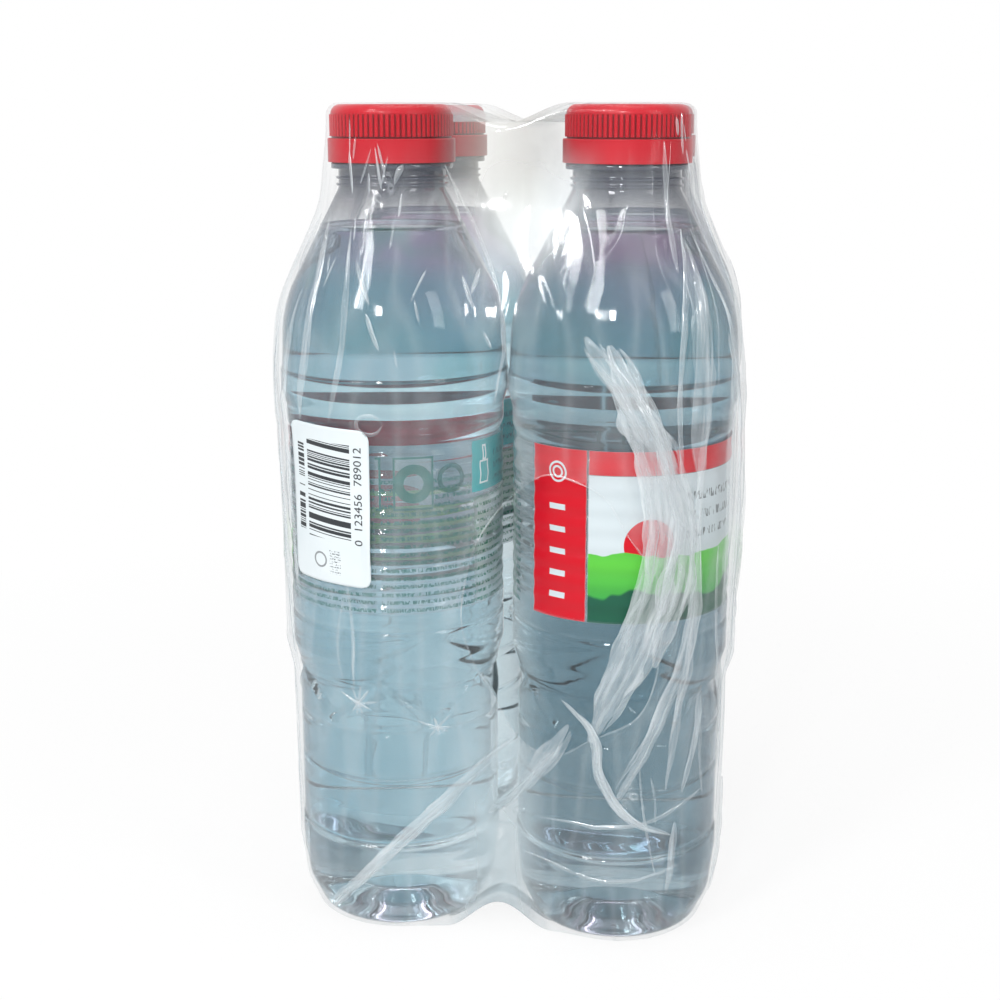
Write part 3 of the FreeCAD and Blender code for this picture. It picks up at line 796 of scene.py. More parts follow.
def shrink_film(name, haze, roughness, streaks=False):
    """Clear film, milky where it is folded and in a patch that stands for the glare between the caps (painted
    highlight), with fine wrinkles; painted shade makes it greyer between the caps and blue-grey low down between the
    bottles.
    """
    tint = props("pack_film").tint
    material, tree, shader = surface(name, {"Roughness": roughness, "IOR": 2.4, "Metallic": 0.0})
    # painted shade: the film between the caps is greyer and darker
    middle = inner_side(tree, empty=185 * MM, full=215 * MM, reach=1.6)
    shade = mix_colour(tree, middle, rgba(tint), rgba((0.50, 0.50, 0.46)))
    # painted shade: the film is blue-grey low down by the middle of the pack, between the bottles
    foot = times(tree, inner_side(tree), minus(tree, 1.0, height_share(tree, 45 * MM, 75 * MM)))
    tree.links.new(mix_colour(tree, foot, shade, rgba((0.44, 0.54, 0.58))), shader.inputs["Base Color"])
    milky = add_node(tree, "ShaderNodeAttribute", attribute_name="haze")
    facing = add_node(tree, "ShaderNodeLayerWeight", {"Blend": 0.5})
    edge = math_node(tree, "POWER", facing.outputs["Facing"], 3.0)
    cloud = noise_node(tree, 45.0, 3.0, (1, 1, 0.4))
    base = times_plus(tree, cloud, 0.5 * haze, 0.75 * haze)
    milk_and_glare = milky.outputs["Fac"]
    if streaks:
        fine = noise_node(tree, 1.0, 3.0, (0.07, 0.6, 1), source="UV")
        milk_and_glare = times(tree, milk_and_glare, times_plus(tree, fine, 1.9, -0.2, clamp=True))
    alpha = plus(tree, base, milk_and_glare)
    alpha = times_plus(tree, edge, 0.35, alpha, clamp=True)
    tree.links.new(alpha, shader.inputs["Alpha"])
    wrinkles = noise_node(tree, 110.0, 3.0, (1, 1, 0.25))
    tree.links.new(bump_normal(tree, wrinkles, 0.35, 0.0009), shader.inputs["Normal"])
    return material


ROUND = 360.0


def label_print():
    """Printed clear label: red side and stripe, white block, red disc over hills on its front, notes on its back."""
    ink = props("pack_print")
    material, tree, shader = surface("label_print", {
        "Roughness": 0.30, "IOR": 1.45, "Metallic": 0.0, "Specular IOR Level": 0.3})
    sheet = Print(tree, (0.50, 0.58, 0.62), 0.10)
    wide = 2 * math.pi * LABEL_RADIUS / (PRINT_HIGH - PRINT_LOW)
    note_rows, note_letters = 21.0, 560.0

    def turn(degrees):
        return degrees / ROUND + 0.5

    for left, right in ((-178, -62), (112, 180)):
        notes = sheet.mask(turn(left), turn(right), 0.0, 0.80)
        sheet.paint(notes, (0.45, 0.50, 0.56), 0.22)
        sheet.paint(sheet.both(notes, sheet.rows(note_rows, note_letters, 0.47)), tuple(ink.ink), 0.85)
    inner = sheet.mask(turn(-128), turn(-66), 0.0, 0.66, crispness=60.0)
    sheet.paint(sheet.both(inner, noise_node(tree, 60.0, 2.0)), (0.72, 0.84, 0.80), 0.75)
    sheet.paint(sheet.both(inner, sheet.rows(note_rows, note_letters, 0.50)), (0.03, 0.16, 0.10), 0.75)
    for left, right in ((-171, -150), (-196, -177)):
        clear = sheet.mask(turn(left), turn(right), 0.62, 0.93)
        sheet.paint(clear, (0.45, 0.55, 0.58), 0.25)
        sheet.paint(sheet.frame(turn(left), turn(right), 0.62, 0.93, 0.012, wide), tuple(ink.ink), 0.85)
    sheet.paint(sheet.round_mark(turn(-160.5), 0.775, 0.085, 0.028, wide), tuple(ink.ink), 0.85)
    sheet.paint(sheet.round_mark(turn(-140), 0.79, 0.075, 0.014, wide), tuple(ink.ink), 0.6)
    sheet.paint(sheet.mask(turn(-127), turn(-78), 0.68, 0.985), tuple(ink.teal), 0.92)
    for left, right, low, high in ((-120.4, -112.6, 0.72, 0.86), (-118.2, -114.8, 0.86, 0.95)):
        sheet.paint(sheet.frame(turn(left), turn(right), low, high, 0.011, wide), (0.75, 0.85, 0.85), 0.9)
    sheet.paint(sheet.both(sheet.mask(turn(-108), turn(-84), 0.72, 0.93), sheet.rows(13.0, 420.0, 0.5)),
                (0.02, 0.20, 0.22), 0.9)

    sheet.paint(sheet.mask(turn(-14), turn(112), 0.38, 0.86), tuple(ink.white), 0.97)
    sheet.paint(sheet.both(sheet.mask(turn(38), turn(104), 0.48, 0.80), sheet.rows(9.0, 260.0, 0.53)),
                (0.18, 0.20, 0.21), 0.95)
    hill = noise_node(tree, 1.0, 2.0, (16, 1, 1), source="UV")
    crest = times_plus(tree, hill, 0.16, 0.32)
    ridge = times_plus(tree, hill, 0.22, 0.06)
    lit = times(tree, sheet.up, 3.0, clamp=True)
    scene_colour = mix_colour(tree, lit, rgba((0.0, 0.22, 0.06)), rgba(ink.leaf))
    below = times(tree, minus(tree, ridge, sheet.up), 60.0, clamp=True)
    scene_colour = mix_colour(tree, below, scene_colour, rgba(ink.wood))
    sheet.paint(sheet.round_mark(turn(18), 0.46, 0.0, 0.15, wide), tuple(ink.red), 0.97)
    land = times(tree, minus(tree, crest, sheet.up), 200.0, clamp=True)
    sheet.paint(sheet.both(sheet.mask(turn(-14), turn(112), 0.0, 0.60), land), scene_colour, 0.97)
    sheet.paint(sheet.mask(turn(-14), turn(112), 0.86, 1.0), tuple(ink.red), 0.97)
    sheet.paint(sheet.mask(turn(-48), turn(-14), 0.0, 1.0), tuple(ink.red), 0.97)
    for radius in (0.055, 0.030):
        sheet.paint(sheet.round_mark(turn(-31), 0.86, radius, 0.006, wide), tuple(ink.white), 0.97)
    for place in (0.12, 0.25, 0.38, 0.51, 0.64):
        sheet.paint(sheet.mask(turn(-36), turn(-26), place, place + 0.035, crispness=900.0), tuple(ink.white), 0.97)

    tree.links.new(sheet.colour, shader.inputs["Base Color"])
    tree.links.new(sheet.cover, shader.inputs["Alpha"])
    tree.links.new(bump_normal(tree, noise_node(tree, 300.0, 2.0), 0.12, 0.0003), shader.inputs["Normal"])
    return material


def sticker_print():
    """White sticker with bars, a small ring and creases."""
    material, tree, shader = surface("sticker_print", {"Roughness": 0.42, "IOR": 1.5, "Metallic": 0.0})
    sheet = Print(tree, (0.80, 0.86, 0.88), 1.0)
    cream = noise_node(tree, 90.0, 3.0)
    sheet.colour = mix_colour(tree, cream, rgba((0.61, 0.68, 0.71)), rgba((0.72, 0.77, 0.79)))
    codes = ((0.24, 0.79, 0.28, 0.90, 3.1, 185.0), (0.09, 0.19, 0.31, 0.92, 8.7, 150.0))
    for left, right, low, high, seed, bars in codes:
        tilt = times_plus(tree, sheet.across, 0.035, sheet.up)
        line = math_node(tree, "FLOOR", times(tree, tilt, bars))
        dice = add_node(tree, "ShaderNodeTexWhiteNoise", noise_dimensions="1D")
        tree.links.new(plus(tree, line, seed), dice.inputs["W"])
        inked = math_node(tree, "GREATER_THAN", dice.outputs["Value"], 0.48)
        sheet.paint(sheet.both(sheet.mask(left, right, low, high, crispness=900.0), inked), (0.02, 0.025, 0.03), 1.0)
    wide = 0.585
    sheet.paint(sheet.round_mark(0.40, 0.14, 0.045, 0.006, wide), (0.25, 0.27, 0.28), 1.0)
    sheet.paint(sheet.both(sheet.mask(0.52, 0.66, 0.06, 0.22), sheet.rows(60.0, 60.0, 0.52)), (0.15, 0.17, 0.18), 1.0)
    tree.links.new(sheet.colour, shader.inputs["Base Color"])
    tree.links.new(bump_normal(tree, noise_node(tree, 160.0, 3.0), 0.25, 0.0005), shader.inputs["Normal"])
    return material


def printed_ink():
    material, tree, shader = surface("printed_ink", {"Roughness": 0.5, "Metallic": 0.0})
    tree.links.new(mix_colour(tree, noise_node(tree, 700.0), rgba((0.012, 0.014, 0.018)), rgba((0.05, 0.055, 0.06))),
                   shader.inputs["Base Color"])
    return material


# ---- operators -----------------------------------------------------------------------------------------------
def with_relief(mesh):
    """Presses the notches between the mountain-shaped panels into a spun mesh."""
    settings = props("pack_bottles")
    count = len(mesh.vertices)
    places = np.empty(count * 3)
    mesh.vertices.foreach_get("co", places)
    x, y, z = places.reshape(-1, 3).T
    radius, angle = np.hypot(x, y), np.arctan2(y, x)
    pitch = 2 * math.pi / settings.peaks
    off = np.abs((angle / pitch + 0.5) % 1.0 - 0.5)
    rise = (z - settings.peak_low) / (settings.peak_high - settings.peak_low)
    wide = 0.46 * np.clip(rise, 0, 1)
    depth = settings.relief * np.clip((wide - off) * 22, 0, 1) * np.clip((1.02 - rise) * 8, 0, 1)
    lip = 0.3 * settings.relief * bump(off - wide, 0.04, 0.05) * np.clip(rise * 5, 0, 1) * (rise < 1.05)
    share_ = 1 + (np.where(radius > 20 * MM, lip - depth, 0)) / np.maximum(radius, 1 * MM)
    mesh.vertices.foreach_set("co", np.stack([x * share_, y * share_, z], axis=1).ravel())
    return mesh


def spun_mesh(name, path):
    bm = spun(path, props("pack_bottles").segments)
    mesh = as_mesh(name, bm)
    return with_relief(mesh)


class PACK_OT_bottles(bpy.types.Operator):
    """Spin the four clear bottles from their CAD section"""
    bl_idname = "pack.bottles"
    bl_label = "Bottles"

    def execute(self, context):
        path = filled(thinned(section_path("bottle_front_left", math.radians(30)), 0.3 * MM), 1.1 * MM)
        mesh = spun_mesh("bottle", path)
        material = clear_plastic()
        for place in PLACES:
            copy = moved_copy(mesh, f"bottle_{place}", AXES[place])
            piece_from_mesh(f"clear_bottle_{place}", copy, material, (f"bottle_{place}",))
        return {"FINISHED"}


def water_path():
    """The water's section, reaching into the wall, with a rim that curls up at the top."""
    settings = props("pack_bottles")
    path = filled(thinned(section_path("water_front_left", math.radians(30)), 0.3 * MM), 1.1 * MM)
    grown = []
    for before, (r, z), after in zip(path[:1] + path, path, path[1:] + path[-1:]):
        along = Vector((after[0] - before[0], after[1] - before[1])).normalized()
        grown.append((max(0.0, r + along.y * settings.wall_bite), z - along.x * settings.wall_bite))
    rim, level = grown[-1][0], path[-1][1]
    curl = []
    for step in range(1, 9):
        share_ = step / 8
        curl.append((rim - 3.2 * MM * share_, level + settings.meniscus * (1 - share_) ** 3))
    return grown[:-1] + [(rim, level + settings.meniscus)] + curl + [(rim / 2, level), (0.0, level)]


class PACK_OT_water(bpy.types.Operator):
    """Fill the bottles with water up to its level"""
    bl_idname = "pack.water"
    bl_label = "Water"

    def execute(self, context):
        mesh = spun_mesh("water", water_path())
        material = clear_water()
        for place in PLACES:
            copy = moved_copy(mesh, f"water_{place}", AXES[place])
            piece_from_mesh(f"clear_water_{place}", copy, material, (f"water_{place}",))
        return {"FINISHED"}


class PACK_OT_caps(bpy.types.Operator):
    """Give the caps their satin red plastic"""
    bl_idname = "pack.caps"
    bl_label = "Caps"

    def execute(self, context):
        material = red_cap()
        for place in PLACES:
            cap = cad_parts[f"cap_{place}"]
            for slot in cap.material_slots:
                slot.material = material
        return {"FINISHED"}


LABEL_TURNS = {"front_left": 180, "front_right": 0, "back_left": 158, "back_right": 196}


def printed_grid(columns, rows):
    """Flat grid, one unit wide and high, with its place on the sheet in the UV layer "print"."""
    bm = bmesh.new()
    uv = bm.loops.layers.uv.new("print")
    bmesh.ops.create_grid(bm, x_segments=columns, y_segments=rows, size=0.5)
    for face in bm.faces:
        for loop in face.loops:
            loop[uv].uv = (loop.vert.co.x + 0.5, loop.vert.co.y + 0.5)
    return bm


class PACK_OT_labels(bpy.types.Operator):
    """Wrap the printed labels round the ribbed panels"""
    bl_idname = "pack.labels"
    bl_label = "Labels"

    def execute(self, context):
        settings = props("pack_print")
        bm = printed_grid(180, 90)
        pitch = (PRINT_HIGH - PRINT_LOW) / settings.ribs
        for v in bm.verts:
            angle, height = v.co.x * 2 * math.pi, (v.co.y + 0.5) * (PRINT_HIGH - PRINT_LOW)
            dip = settings.rib_dip * (0.5 - 0.5 * math.cos(2 * math.pi * height / pitch))
            radius = LABEL_RADIUS + 0.05 * MM - dip
            v.co = (radius * math.sin(angle), -radius * math.cos(angle), PRINT_LOW + height)
        bmesh.ops.remove_doubles(bm, verts=bm.verts, dist=1e-6)
        mesh = as_mesh("label", bm)
        material = label_print()
        for place in PLACES:
            copy = mesh.copy()
            copy.name = f"label_{place}"
            turn = Matrix.Rotation(math.radians(LABEL_TURNS[place]), 4, "Z")
            copy.transform(Matrix.Translation(AXES[place]) @ turn)
            piece_from_mesh(f"printed_label_{place}", copy, material, (f"label_{place}",))
        return {"FINISHED"}


class PACK_OT_sticker(bpy.types.Operator):
    """Stick the price sticker on the film"""
    bl_idname = "pack.sticker"
    bl_label = "Sticker"

    def execute(self, context):
        sleeve = Sleeve()
        low, high = STICKER_LOW.z, STICKER_HIGH.z - 2.0 * MM
        axis = AXES["front_left"]
        right = math.asin((STICKER_HIGH.x - axis.x) / sleeve.radius(low))
        left = math.asin((STICKER_LOW.x - axis.x) / sleeve.radius(low))
        ends = [-sleeve.half_side - GIRTH_RADIUS * (sleeve.turn - angle) for angle in (left, right)]
        corner = 3 * MM
        ends[0] += 2.0 * MM
        wide, tall = ends[1] - ends[0], high - low

        def place(across, up, lift=0.35 * MM):
            x, y = across * wide, up * tall
            cx, cy = np.clip(x, corner, wide - corner), np.clip(y, corner, tall - corner)
            far = np.maximum(np.hypot(x - cx, y - cy), 1e-9)
            pull = np.minimum(1, corner / far)
            x, y = cx + (x - cx) * pull, cy + (y - cy) * pull
            curl = 0.9 * MM * bump(across, 1.0, 0.12) * bump(up, 0.25, 0.3)
            return sleeve.place(ends[0] + x, low + y - 0.045 * (x - wide / 2), lift + curl)

        bm = printed_grid(44, 72)
        points = place(np.array([v.co.x + 0.5 for v in bm.verts]), np.array([v.co.y + 0.5 for v in bm.verts]))
        for v, point in zip(bm.verts, points):
            v.co = point
        bmesh.ops.recalc_face_normals(bm, faces=bm.faces)
        bmesh.ops.solidify(bm, geom=bm.faces[:], thickness=0.12 * MM)
        bmesh.ops.recalc_face_normals(bm, faces=bm.faces)
        make_piece("price_sticker", bm, sticker_print(), ("sticker",))

        digits = bpy.data.curves.new("digits", "FONT")
        digits.body = "0  123456  789012"
        digits.size = 1.0
        digits.resolution_u = 3
        text = bpy.data.objects.new("digits", digits)
        mesh = bpy.data.meshes.new_from_object(text)
        bpy.data.objects.remove(text)
        bm = bmesh.new()
        bm.from_mesh(mesh)
        bmesh.ops.subdivide_edges(bm, edges=bm.edges, cuts=1)
        xs, ys = np.array([v.co.x for v in bm.verts]), np.array([v.co.y for v in bm.verts])
        up = 0.27 + 0.62 * (xs - xs.min()) / (xs.max() - xs.min())
        across = 0.915 - 0.085 * ys / ys.max()
        for v, point in zip(bm.verts, place(across, up, 0.52 * MM)):
            v.co = point
        make_piece("sticker_digits", bm, printed_ink())
        return {"FINISHED"}


def film_rows(sleeve):
    """Rows of the film's grid from the top's middle down to the bottom's: share, radius and height."""
    rows = [(k / 7, 0.0, sleeve.high) for k in range(7)]
    path = filled(thinned(sleeve.path, 0.2 * MM), 1.3 * MM)
    top = [point for point in path if point[1] > CAP_MIDDLE]
    bottom = [point for point in path if point[1] < 4 * MM]
    rows += [(1.0, r, z) for r, z in top]
    count = props("pack_film").rows
    start, end = top[-1][1], bottom[0][1]
    for k in range(1, count):
        height = start + (end - start) * k / count
        rows.append((1.0, float(sleeve.radius(height)), height))
    rows += [(1.0, r, z) for r, z in bottom]
    rows += [(k / 5, 0.0, sleeve.low) for k in (4, 3, 2, 1, 0)]
    return np.array(rows)


def film_columns(sleeve):
    """Lengths along the girth of the grid's columns, closer over the front."""
    settings = props("pack_film")
    front = np.linspace(-sleeve.quarter, sleeve.quarter, settings.front_columns + 1)
    back = np.linspace(sleeve.quarter, 3 * sleeve.quarter, settings.back_columns + 1)
    return np.concatenate([front, back[1:]])


def opening_edges(sleeve):
    """Outlines of the two open ends, in metres; the back one is the front one turned round."""
    front = [(x * MM, z * MM) for x, z in opening_outline()]
    back = [(x + 2 * sleeve.quarter, z) for x, z in front]
    return front, back


class PACK_OT_film(bpy.types.Operator):
    """Draw the shrink film round the pack"""
    bl_idname = "pack.film"
    bl_label = "Film"

    def execute(self, context):
        sleeve = Sleeve()
        rows, columns = film_rows(sleeve), film_columns(sleeve)
        bm = bmesh.new()
        bmesh.ops.create_grid(bm, x_segments=len(columns) - 1, y_segments=len(rows) - 1, size=0.5)
        mesh = as_mesh("film_sleeve", bm)
        count = len(mesh.vertices)
        places = np.empty(count * 3)
        mesh.vertices.foreach_get("co", places)
        places = places.reshape(-1, 3)
        column = np.round((places[:, 0] + 0.5) * (len(columns) - 1)).astype(int)
        row = np.round((0.5 - places[:, 1]) * (len(rows) - 1)).astype(int)
        along, (scale, radius, height) = columns[column], rows[row].T
        edges = opening_edges(sleeve)
        side = (scale == 1) & (radius > 18 * MM)
        for edge in edges:
            moved, raised = drawn_to(along, height, edge, 0.62 * MM)
            along, height = np.where(side, moved, along), np.where(side, raised, height)
        radius = np.where(side, sleeve.radius(height), radius)
        points, outward = sleeve.base(along, radius, height)
        relief = film_relief(points, along) * np.clip(radius / (12 * MM), 0, 1)
        points = (points + outward * relief[:, None]) * np.stack([scale, scale, np.ones(count)], axis=1)
        points = drawn_in(points, sleeve)
        mesh.vertices.foreach_set("co", points.ravel())
        haze = mesh.attributes.new("haze", "FLOAT", "POINT")
        milk_and_glare = 0.10 * np.clip(relief / (1.2 * MM) - 0.35, 0, 1)
        fine = crests(noise_at(points, (120, 120, 18), 5.0), 3.5)
        milk_and_glare += 0.10 * fine * np.clip(1 - bump(height, CAP_MIDDLE, 25 * MM), 0, 1)
        gap = np.maximum(bump(points[:, 0], 0, 19 * MM), bump(points[:, 1], 0, 19 * MM))
        # milkier film between the bottles up top; it shows the painted shade colour of the film's material there
        milk_and_glare += 0.42 * gap * np.clip((points[:, 2] - 168 * MM) / (40 * MM), 0, 1)
        milk_and_glare -= 0.03 * bump(height, 224 * MM, 18 * MM)
        # painted highlight: a milky patch 9 mm right of the front's middle, 202 mm up, stands for the glare on the
        # film between the caps
        milk_and_glare += 0.60 * bump(along, 9 * MM, 19 * MM) * bump(height, 202 * MM, 20 * MM)
        # milkier film low down between the bottles; it shows the painted blue-grey shade of the film's material there
        milk_and_glare += 0.50 * gap * np.clip((78 * MM - points[:, 2]) / (45 * MM), 0, 1)
        haze.data.foreach_set("value", milk_and_glare)
        corners = np.empty(len(mesh.polygons) * 4, dtype=int)
        mesh.polygons.foreach_get("vertices", corners)
        corners = corners.reshape(-1, 4)
        mid_along, mid_height = along[corners].mean(axis=1), height[corners].mean(axis=1)
        open_ = np.zeros(len(corners), dtype=bool)
        for edge in edges:
            open_ |= inside_outline(mid_along, mid_height, edge)
        bm = bmesh.new()
        bm.from_mesh(mesh)
        bm.faces.ensure_lookup_table()
        bmesh.ops.delete(bm, geom=[bm.faces[i] for i in np.flatnonzero(open_)], context="FACES")
        bmesh.ops.remove_doubles(bm, verts=bm.verts, dist=5e-6)
        bmesh.ops.recalc_face_normals(bm, faces=bm.faces)
        make_piece("film_sleeve", bm, shrink_film("shrink_film", props("pack_film").haze, 0.10), ("film",))
        return {"FINISHED"}


def beside(line, shift, sway, seed):
    """The smoothed line moved sideways, swaying as it goes and meeting the line at its ends."""
    line = smooth_line(line, 3)
    moved = []
    for k, (x, z) in enumerate(line):
        ahead, behind = line[min(k + 1, len(line) - 1)], line[max(k - 1, 0)]
        dx, dz = ahead[0] - behind[0], ahead[1] - behind[1]
        size = max(math.hypot(dx, dz), 1e-9)
        t = k / (len(line) - 1)
        off = (shift + sway * noise.noise(Vector((x * 0.07, z * 0.07, seed)))) * min(1, 5 * t * (1 - t) + 0.25)
        moved.append((x - dz / size * off, z + dx / size * off))
    return moved


class Strips:
    """Gathered strips of film, collected in one bmesh."""

    def __init__(self, sleeve):
        self.sleeve = sleeve
        self.bm = bmesh.new()
        self.haze = self.bm.verts.layers.float.new("haze")
        self.uv = self.bm.loops.layers.uv.new("streak")

    def strip(self, line, half_width, arch, haze, rim, lift, seed=0.0):
        """One arched band along a line, uneven at its sides and thinner towards its ends."""
        line = smooth_line(line, 2)
        gaps = [math.dist(a, b) for a, b in zip(line, line[1:])]
        length_ = sum(gaps)
        far = np.concatenate([[0], np.cumsum(gaps)]) / length_
        steps = max(6, int(length_ / 0.8))
        lanes = 4 if half_width < 0.9 else 10
        made = bmesh.ops.create_grid(self.bm, x_segments=steps, y_segments=lanes, size=0.5)
        verts = made["verts"]
        t = np.array([v.co.x + 0.5 for v in verts])
        across = np.array([v.co.y * 2 for v in verts])
        xs, zs = np.array(line).T
        x, z = np.interp(t, far, xs), np.interp(t, far, zs)
        dx = np.interp(np.clip(t + 0.01, 0, 1), far, xs) - np.interp(np.clip(t - 0.01, 0, 1), far, xs)
        dz = np.interp(np.clip(t + 0.01, 0, 1), far, zs) - np.interp(np.clip(t - 0.01, 0, 1), far, zs)
        size = np.maximum(np.hypot(dx, dz), 1e-9)
        uneven = np.array([noise.noise(Vector((value * length_ / 8, seed, 2 * math.copysign(1, a))))
                           for a, value in zip(across, t)])
        width = half_width * (np.clip(5 * t * (1 - t) + 0.06, 0, 1) ** 0.7) * (1 + 0.6 * uneven)
        pleats = np.array([noise.noise(Vector((a * half_width * 1.3, seed + 3, value * length_ / 14)))
                           for a, value in zip(across, t)])
        x = x - dz / size * across * width
        z = z + dx / size * across * width
        raised = lift + arch * width * (1 - across ** 2) + 0.3 * np.abs(pleats) * min(half_width, 2.0)
        points = self.sleeve.place(x * MM, z * MM, raised * MM)
        spot = {}
        for v, point, a, pleat, value, wide in zip(verts, points, across, pleats, t, width):
            v.co = point
            v[self.haze] = haze + (rim - haze) * abs(a) ** 4 + 0.4 * max(0.0, pleat)
            spot[v] = (value * length_ + seed, a * wide + seed)
        for face in {face for v in verts for face in v.link_faces}:
            for loop in face.loops:
                loop[self.uv].uv = spot[loop.vert]

    def bundle(self, line, half_width, arch, haze, rim, seed):
        """A wide faint band with thin strips running along it."""
        if half_width < 0.9:
            self.strip(line, half_width, arch, haze, rim, 0.12, seed)
            return
        self.strip(line, half_width, arch * 0.6, haze * 0.95, haze * 1.1, 0.12, seed)
        chance = random.Random(int(seed * 10) + 3)
        for k in range(int(1 + 1.1 * half_width)):
            shift = chance.uniform(-0.95, 0.95) * half_width
            part = beside(line, shift, 0.7 * half_width, seed + 7 * k)
            start = int(len(part) * chance.uniform(0.0, 0.35))
            stop = int(len(part) * chance.uniform(0.7, 1.0))
            if stop - start > 3:
                self.strip(part[start:stop], chance.choice((0.2, 0.35, 0.8, 1.3)), 0.6,
                           chance.uniform(0.4, 0.9) * haze, chance.uniform(0.6, 1.0) * rim,
                           0.15 + 0.5 * chance.random(), seed + k)


class PACK_OT_folds(bpy.types.Operator):
    """Lay the gathered strips, creases and rims on the film"""
    bl_idname = "pack.folds"
    bl_label = "Folds"

    def lay_small(self, folds):
        """Knots, glinting creases and bubbles, placed at random within their patches."""
        chance = random.Random(11)
        for (x, z), count, reach in KNOTS:
            for k in range(count):
                turn = math.pi * (k + 0.5 * chance.random()) / count
                size = reach * chance.uniform(0.5, 1.0)
                dx, dz = size * math.cos(turn), size * math.sin(turn)
                folds.strip([(x - 0.6 * dx, z - 0.6 * dz), (x + dx, z + dz)], 0.35, 0.8, 0.25, 0.5, 0.05, seed=x + k)
        for (x, z), count, reach in HANGING:
            for k in range(count):
                drift = chance.uniform(-6, 6)
                folds.strip([(x, z), (x + drift, z - reach / 2), (x + drift / 2, z - reach)], 0.35, 0.7, 0.12, 0.3,
                            0.05, seed=x + k)
        for (x, z), (wide, tall), count in GLINTS:
            for k in range(count):
                foot = (x + chance.uniform(-wide, wide), z + chance.uniform(-tall, tall))
                size, lean = chance.uniform(4, 11), chance.uniform(-0.5, 0.6)
                folds.strip([foot, (foot[0] + lean * size, foot[1] + size)], chance.choice((0.3, 0.45, 0.6)), 0.8,
                            0.3, 0.55, 0.05, seed=x + k)
        for (x, z), spread, count, largest in BUBBLES:
            for k in range(count):
                radius = largest * (1.0 if count == 1 else chance.uniform(0.5, 1.0))
                mid = (x + chance.uniform(-spread, spread), z + chance.uniform(-spread, spread))
                turns = [n * math.pi / 4 for n in range(9)]
                loop = [(mid[0] + radius * math.cos(t), mid[1] + 0.8 * radius * math.sin(t)) for t in turns]
                folds.strip(loop, 0.28 + 0.06 * radius, 0.9, 0.10, 0.45, 0.05, seed=x + k)

    def execute(self, context):
        sleeve = Sleeve()
        folds = Strips(sleeve)
        for index, (line, half_width, arch, haze, rim) in enumerate(STRIPS):
            folds.bundle(line, half_width, arch, haze, rim, index * 5.3)
        for edge in opening_edges(sleeve):
            outline = [(x / MM, z / MM) for x, z in edge]
            for start in range(0, len(outline), 12):
                part = (outline + outline[:1])[start:start + 15]
                if len(part) > 2:
                    folds.strip(part, 0.24, 0.8, 0.14, 0.30, 0.02, seed=start)
        self.lay_small(folds)
        chance = random.Random(7)
        girth = 4 * sleeve.quarter / MM
        for _ in range(150):
            x, z = chance.uniform(45, girth - 60), chance.uniform(15, 212)
            tall, drift = chance.uniform(10, 52), chance.uniform(-6, 6)
            if abs(x - girth / 2) < 58 and abs(z - 96) < 55:
                continue
            line = [(x, max(8, z - tall / 2)), (x + drift * chance.random(), z), (x + drift, min(220, z + tall / 2))]
            folds.strip(line, chance.choice((0.2, 0.3, 0.5, 1.2)), 0.6, 0.18, 0.45, 0.05, seed=x)
        bm = folds.bm
        bmesh.ops.recalc_face_normals(bm, faces=bm.faces)
        make_piece("film_folds", bm, shrink_film("gathered_film", 0.03, 0.13, streaks=True))
        return {"FINISHED"}


class PACK_OT_stage(bpy.types.Operator):
    """Set up the floor, the lamps, the room and the camera"""
    bl_idname = "pack.stage"
    bl_label = "Stage"

    def execute(self, context):
        scene = context.scene
        scene.view_settings.view_transform = "Standard"
        scene.cycles.transparent_max_bounces = 32
        scene.cycles.max_bounces = 14
        scene.cycles.transmission_bounces = 12
        make_floor()
        make_room()
        make_lamps()
        make_camera()
        return {"FINISHED"}


def seen_directly(tree):
    """1 for rays that show the background: to the camera, off gloss, and through clear things."""
    path = add_node(tree, "ShaderNodeLightPath")
    seen = math_node(tree, "MAXIMUM", path.outputs["Is Camera Ray"], path.outputs["Is Glossy Ray"])
    return math_node(tree, "MAXIMUM", seen, path.outputs["Is Transmission Ray"])


def make_floor():
    bm = bmesh.new()
    bmesh.ops.create_grid(bm, x_segments=1, y_segments=1, size=4.0)
    mesh = as_mesh("floor", bm)
    floor = linked("floor", mesh)
    material = new_material("white_floor")
    tree = material.node_tree
    out = add_node(tree, "ShaderNodeOutputMaterial")
    matt = add_node(tree, "ShaderNodeBsdfDiffuse", {"Color": (0.9, 0.9, 0.9, 1)})
    lit = add_node(tree, "ShaderNodeEmission", {"Color": (1, 1, 1, 1), "Strength": 1.0})
    mix = add_node(tree, "ShaderNodeMixShader")
    coordinates = add_node(tree, "ShaderNodeTexCoord")
    far = add_node(tree, "ShaderNodeVectorMath", operation="LENGTH")
    tree.links.new(coordinates.outputs["Object"], far.inputs[0])
    share_ = times_plus(tree, far.outputs["Value"], 0.35, 0.86, clamp=True)
    tree.links.new(times(tree, seen_directly(tree), share_), mix.inputs[0])
    tree.links.new(matt.outputs[0], mix.inputs[1])
    tree.links.new(lit.outputs[0], mix.inputs[2])
    tree.links.new(mix.outputs[0], out.inputs[0])
    mesh.materials.append(material)


def make_room():
    world = bpy.data.worlds.new("room")
    bpy.context.scene.world = world
    world.use_nodes = True
    tree = world.node_tree
    tree.nodes.clear()
    out = add_node(tree, "ShaderNodeOutputWorld")
    back = add_node(tree, "ShaderNodeBackground", {"Color": (1, 1, 1, 1)})
    room = props("pack_stage").room
    strength = times_plus(tree, seen_directly(tree), 1.0 - room, room)
    tree.links.new(strength, back.inputs["Strength"])
    tree.links.new(back.outputs[0], out.inputs[0])


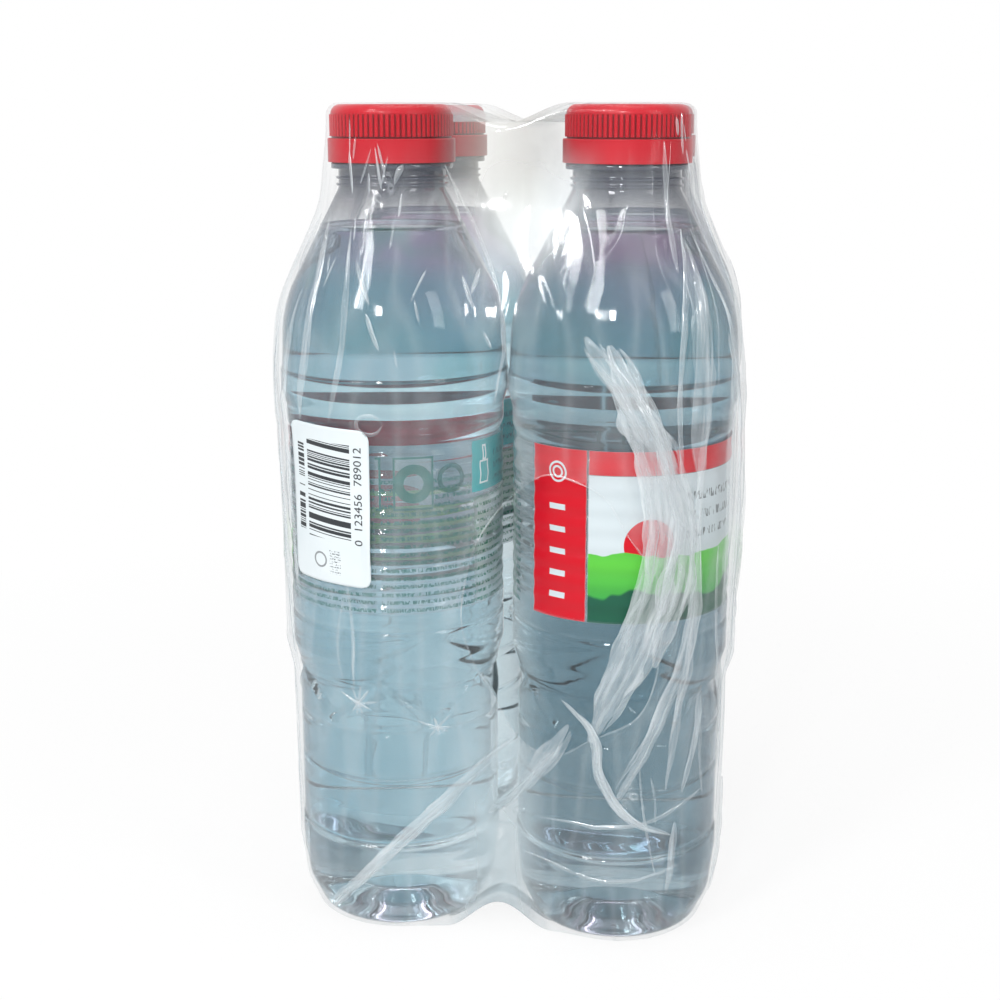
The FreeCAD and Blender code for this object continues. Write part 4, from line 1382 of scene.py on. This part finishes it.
def make_lamp(name, place, target, size, power, colour_=(1, 1, 1)):
    data = bpy.data.lights.new(name, "AREA")
    data.shape = "RECTANGLE"
    data.size, data.size_y = size
    data.energy = power
    data.color = colour_
    lamp = linked(name, data)
    lamp.location = place
    lamp.rotation_mode = "QUATERNION"
    lamp.rotation_quaternion = (Vector(target) - Vector(place)).to_track_quat("-Z", "Y")


def make_lamps():
    middle = (0, 0, 0.13)
    make_lamp("left_softbox", (-0.52, -0.88, 0.92), middle, (0.22, 0.46), 7.0)
    make_lamp("right_softbox", (0.80, -0.55, 0.60), middle, (0.22, 0.60), 2.5)
    make_lamp("top_softbox", (0.00, -0.10, 1.10), middle, (0.50, 0.50), 3.2)
    make_lamp("front_softbox", (-0.12, -0.95, 0.62), (0, 0, 0.2), (0.10, 0.14), 3.6)


def make_camera():
    """Camera above and a little to the right of the pack's front."""
    yaw, pitch, aim = math.radians(6.575), math.radians(13.70), math.radians(0.776)
    distance, height = 0.46705, 0.22743
    place = Vector((math.sin(yaw) * distance, -math.cos(yaw) * distance, height))
    ahead = Vector((-math.sin(yaw) * math.cos(pitch), math.cos(yaw) * math.cos(pitch), -math.sin(pitch)))
    ahead.rotate(Matrix.Rotation(aim, 3, "Z"))
    data = bpy.data.cameras.new("camera")
    data.lens = props("pack_stage").lens / MM
    data.sensor_width = 36
    camera = linked("camera", data)
    camera.location = place
    camera.rotation_mode = "QUATERNION"
    camera.rotation_quaternion = ahead.to_track_quat("-Z", "Y")
    bpy.context.scene.camera = camera


class PACK_PT_panel(bpy.types.Panel):
    """Buttons and settings of the bottle pack"""
    bl_idname = "PACK_PT_panel"
    bl_label = "Bottle Pack"
    bl_space_type = "VIEW_3D"
    bl_region_type = "UI"
    bl_category = "Bottle Pack"

    def draw(self, context):
        for operator in STEPS:
            self.layout.operator(operator.bl_idname)
        for group in GROUPS:
            settings = getattr(context.scene, group)
            for name in settings.bl_rna.properties.keys():
                if name not in {"name", "rna_type"}:
                    self.layout.prop(settings, name)


STEPS = (PACK_OT_bottles, PACK_OT_water, PACK_OT_caps, PACK_OT_labels, PACK_OT_sticker, PACK_OT_film,
         PACK_OT_folds, PACK_OT_stage)
GROUPS = {"pack_bottles": PackBottles, "pack_print": PackPrint, "pack_film": PackFilm, "pack_stage": PackStage}


def register():
    for cls in (*GROUPS.values(), *STEPS, PACK_PT_panel):
        bpy.utils.register_class(cls)
    for name, group in GROUPS.items():
        setattr(bpy.types.Scene, name, PointerProperty(type=group))


def unregister():
    for name in GROUPS:
        delattr(bpy.types.Scene, name)
    for cls in reversed((*GROUPS.values(), *STEPS, PACK_PT_panel)):
        bpy.utils.unregister_class(cls)


def main():
    register()
    bpy.ops.pack.bottles()
    bpy.ops.pack.water()
    bpy.ops.pack.caps()
    bpy.ops.pack.labels()
    bpy.ops.pack.sticker()
    bpy.ops.pack.film()
    bpy.ops.pack.folds()
    bpy.ops.pack.stage()


if __name__ == "__main__":
    main()
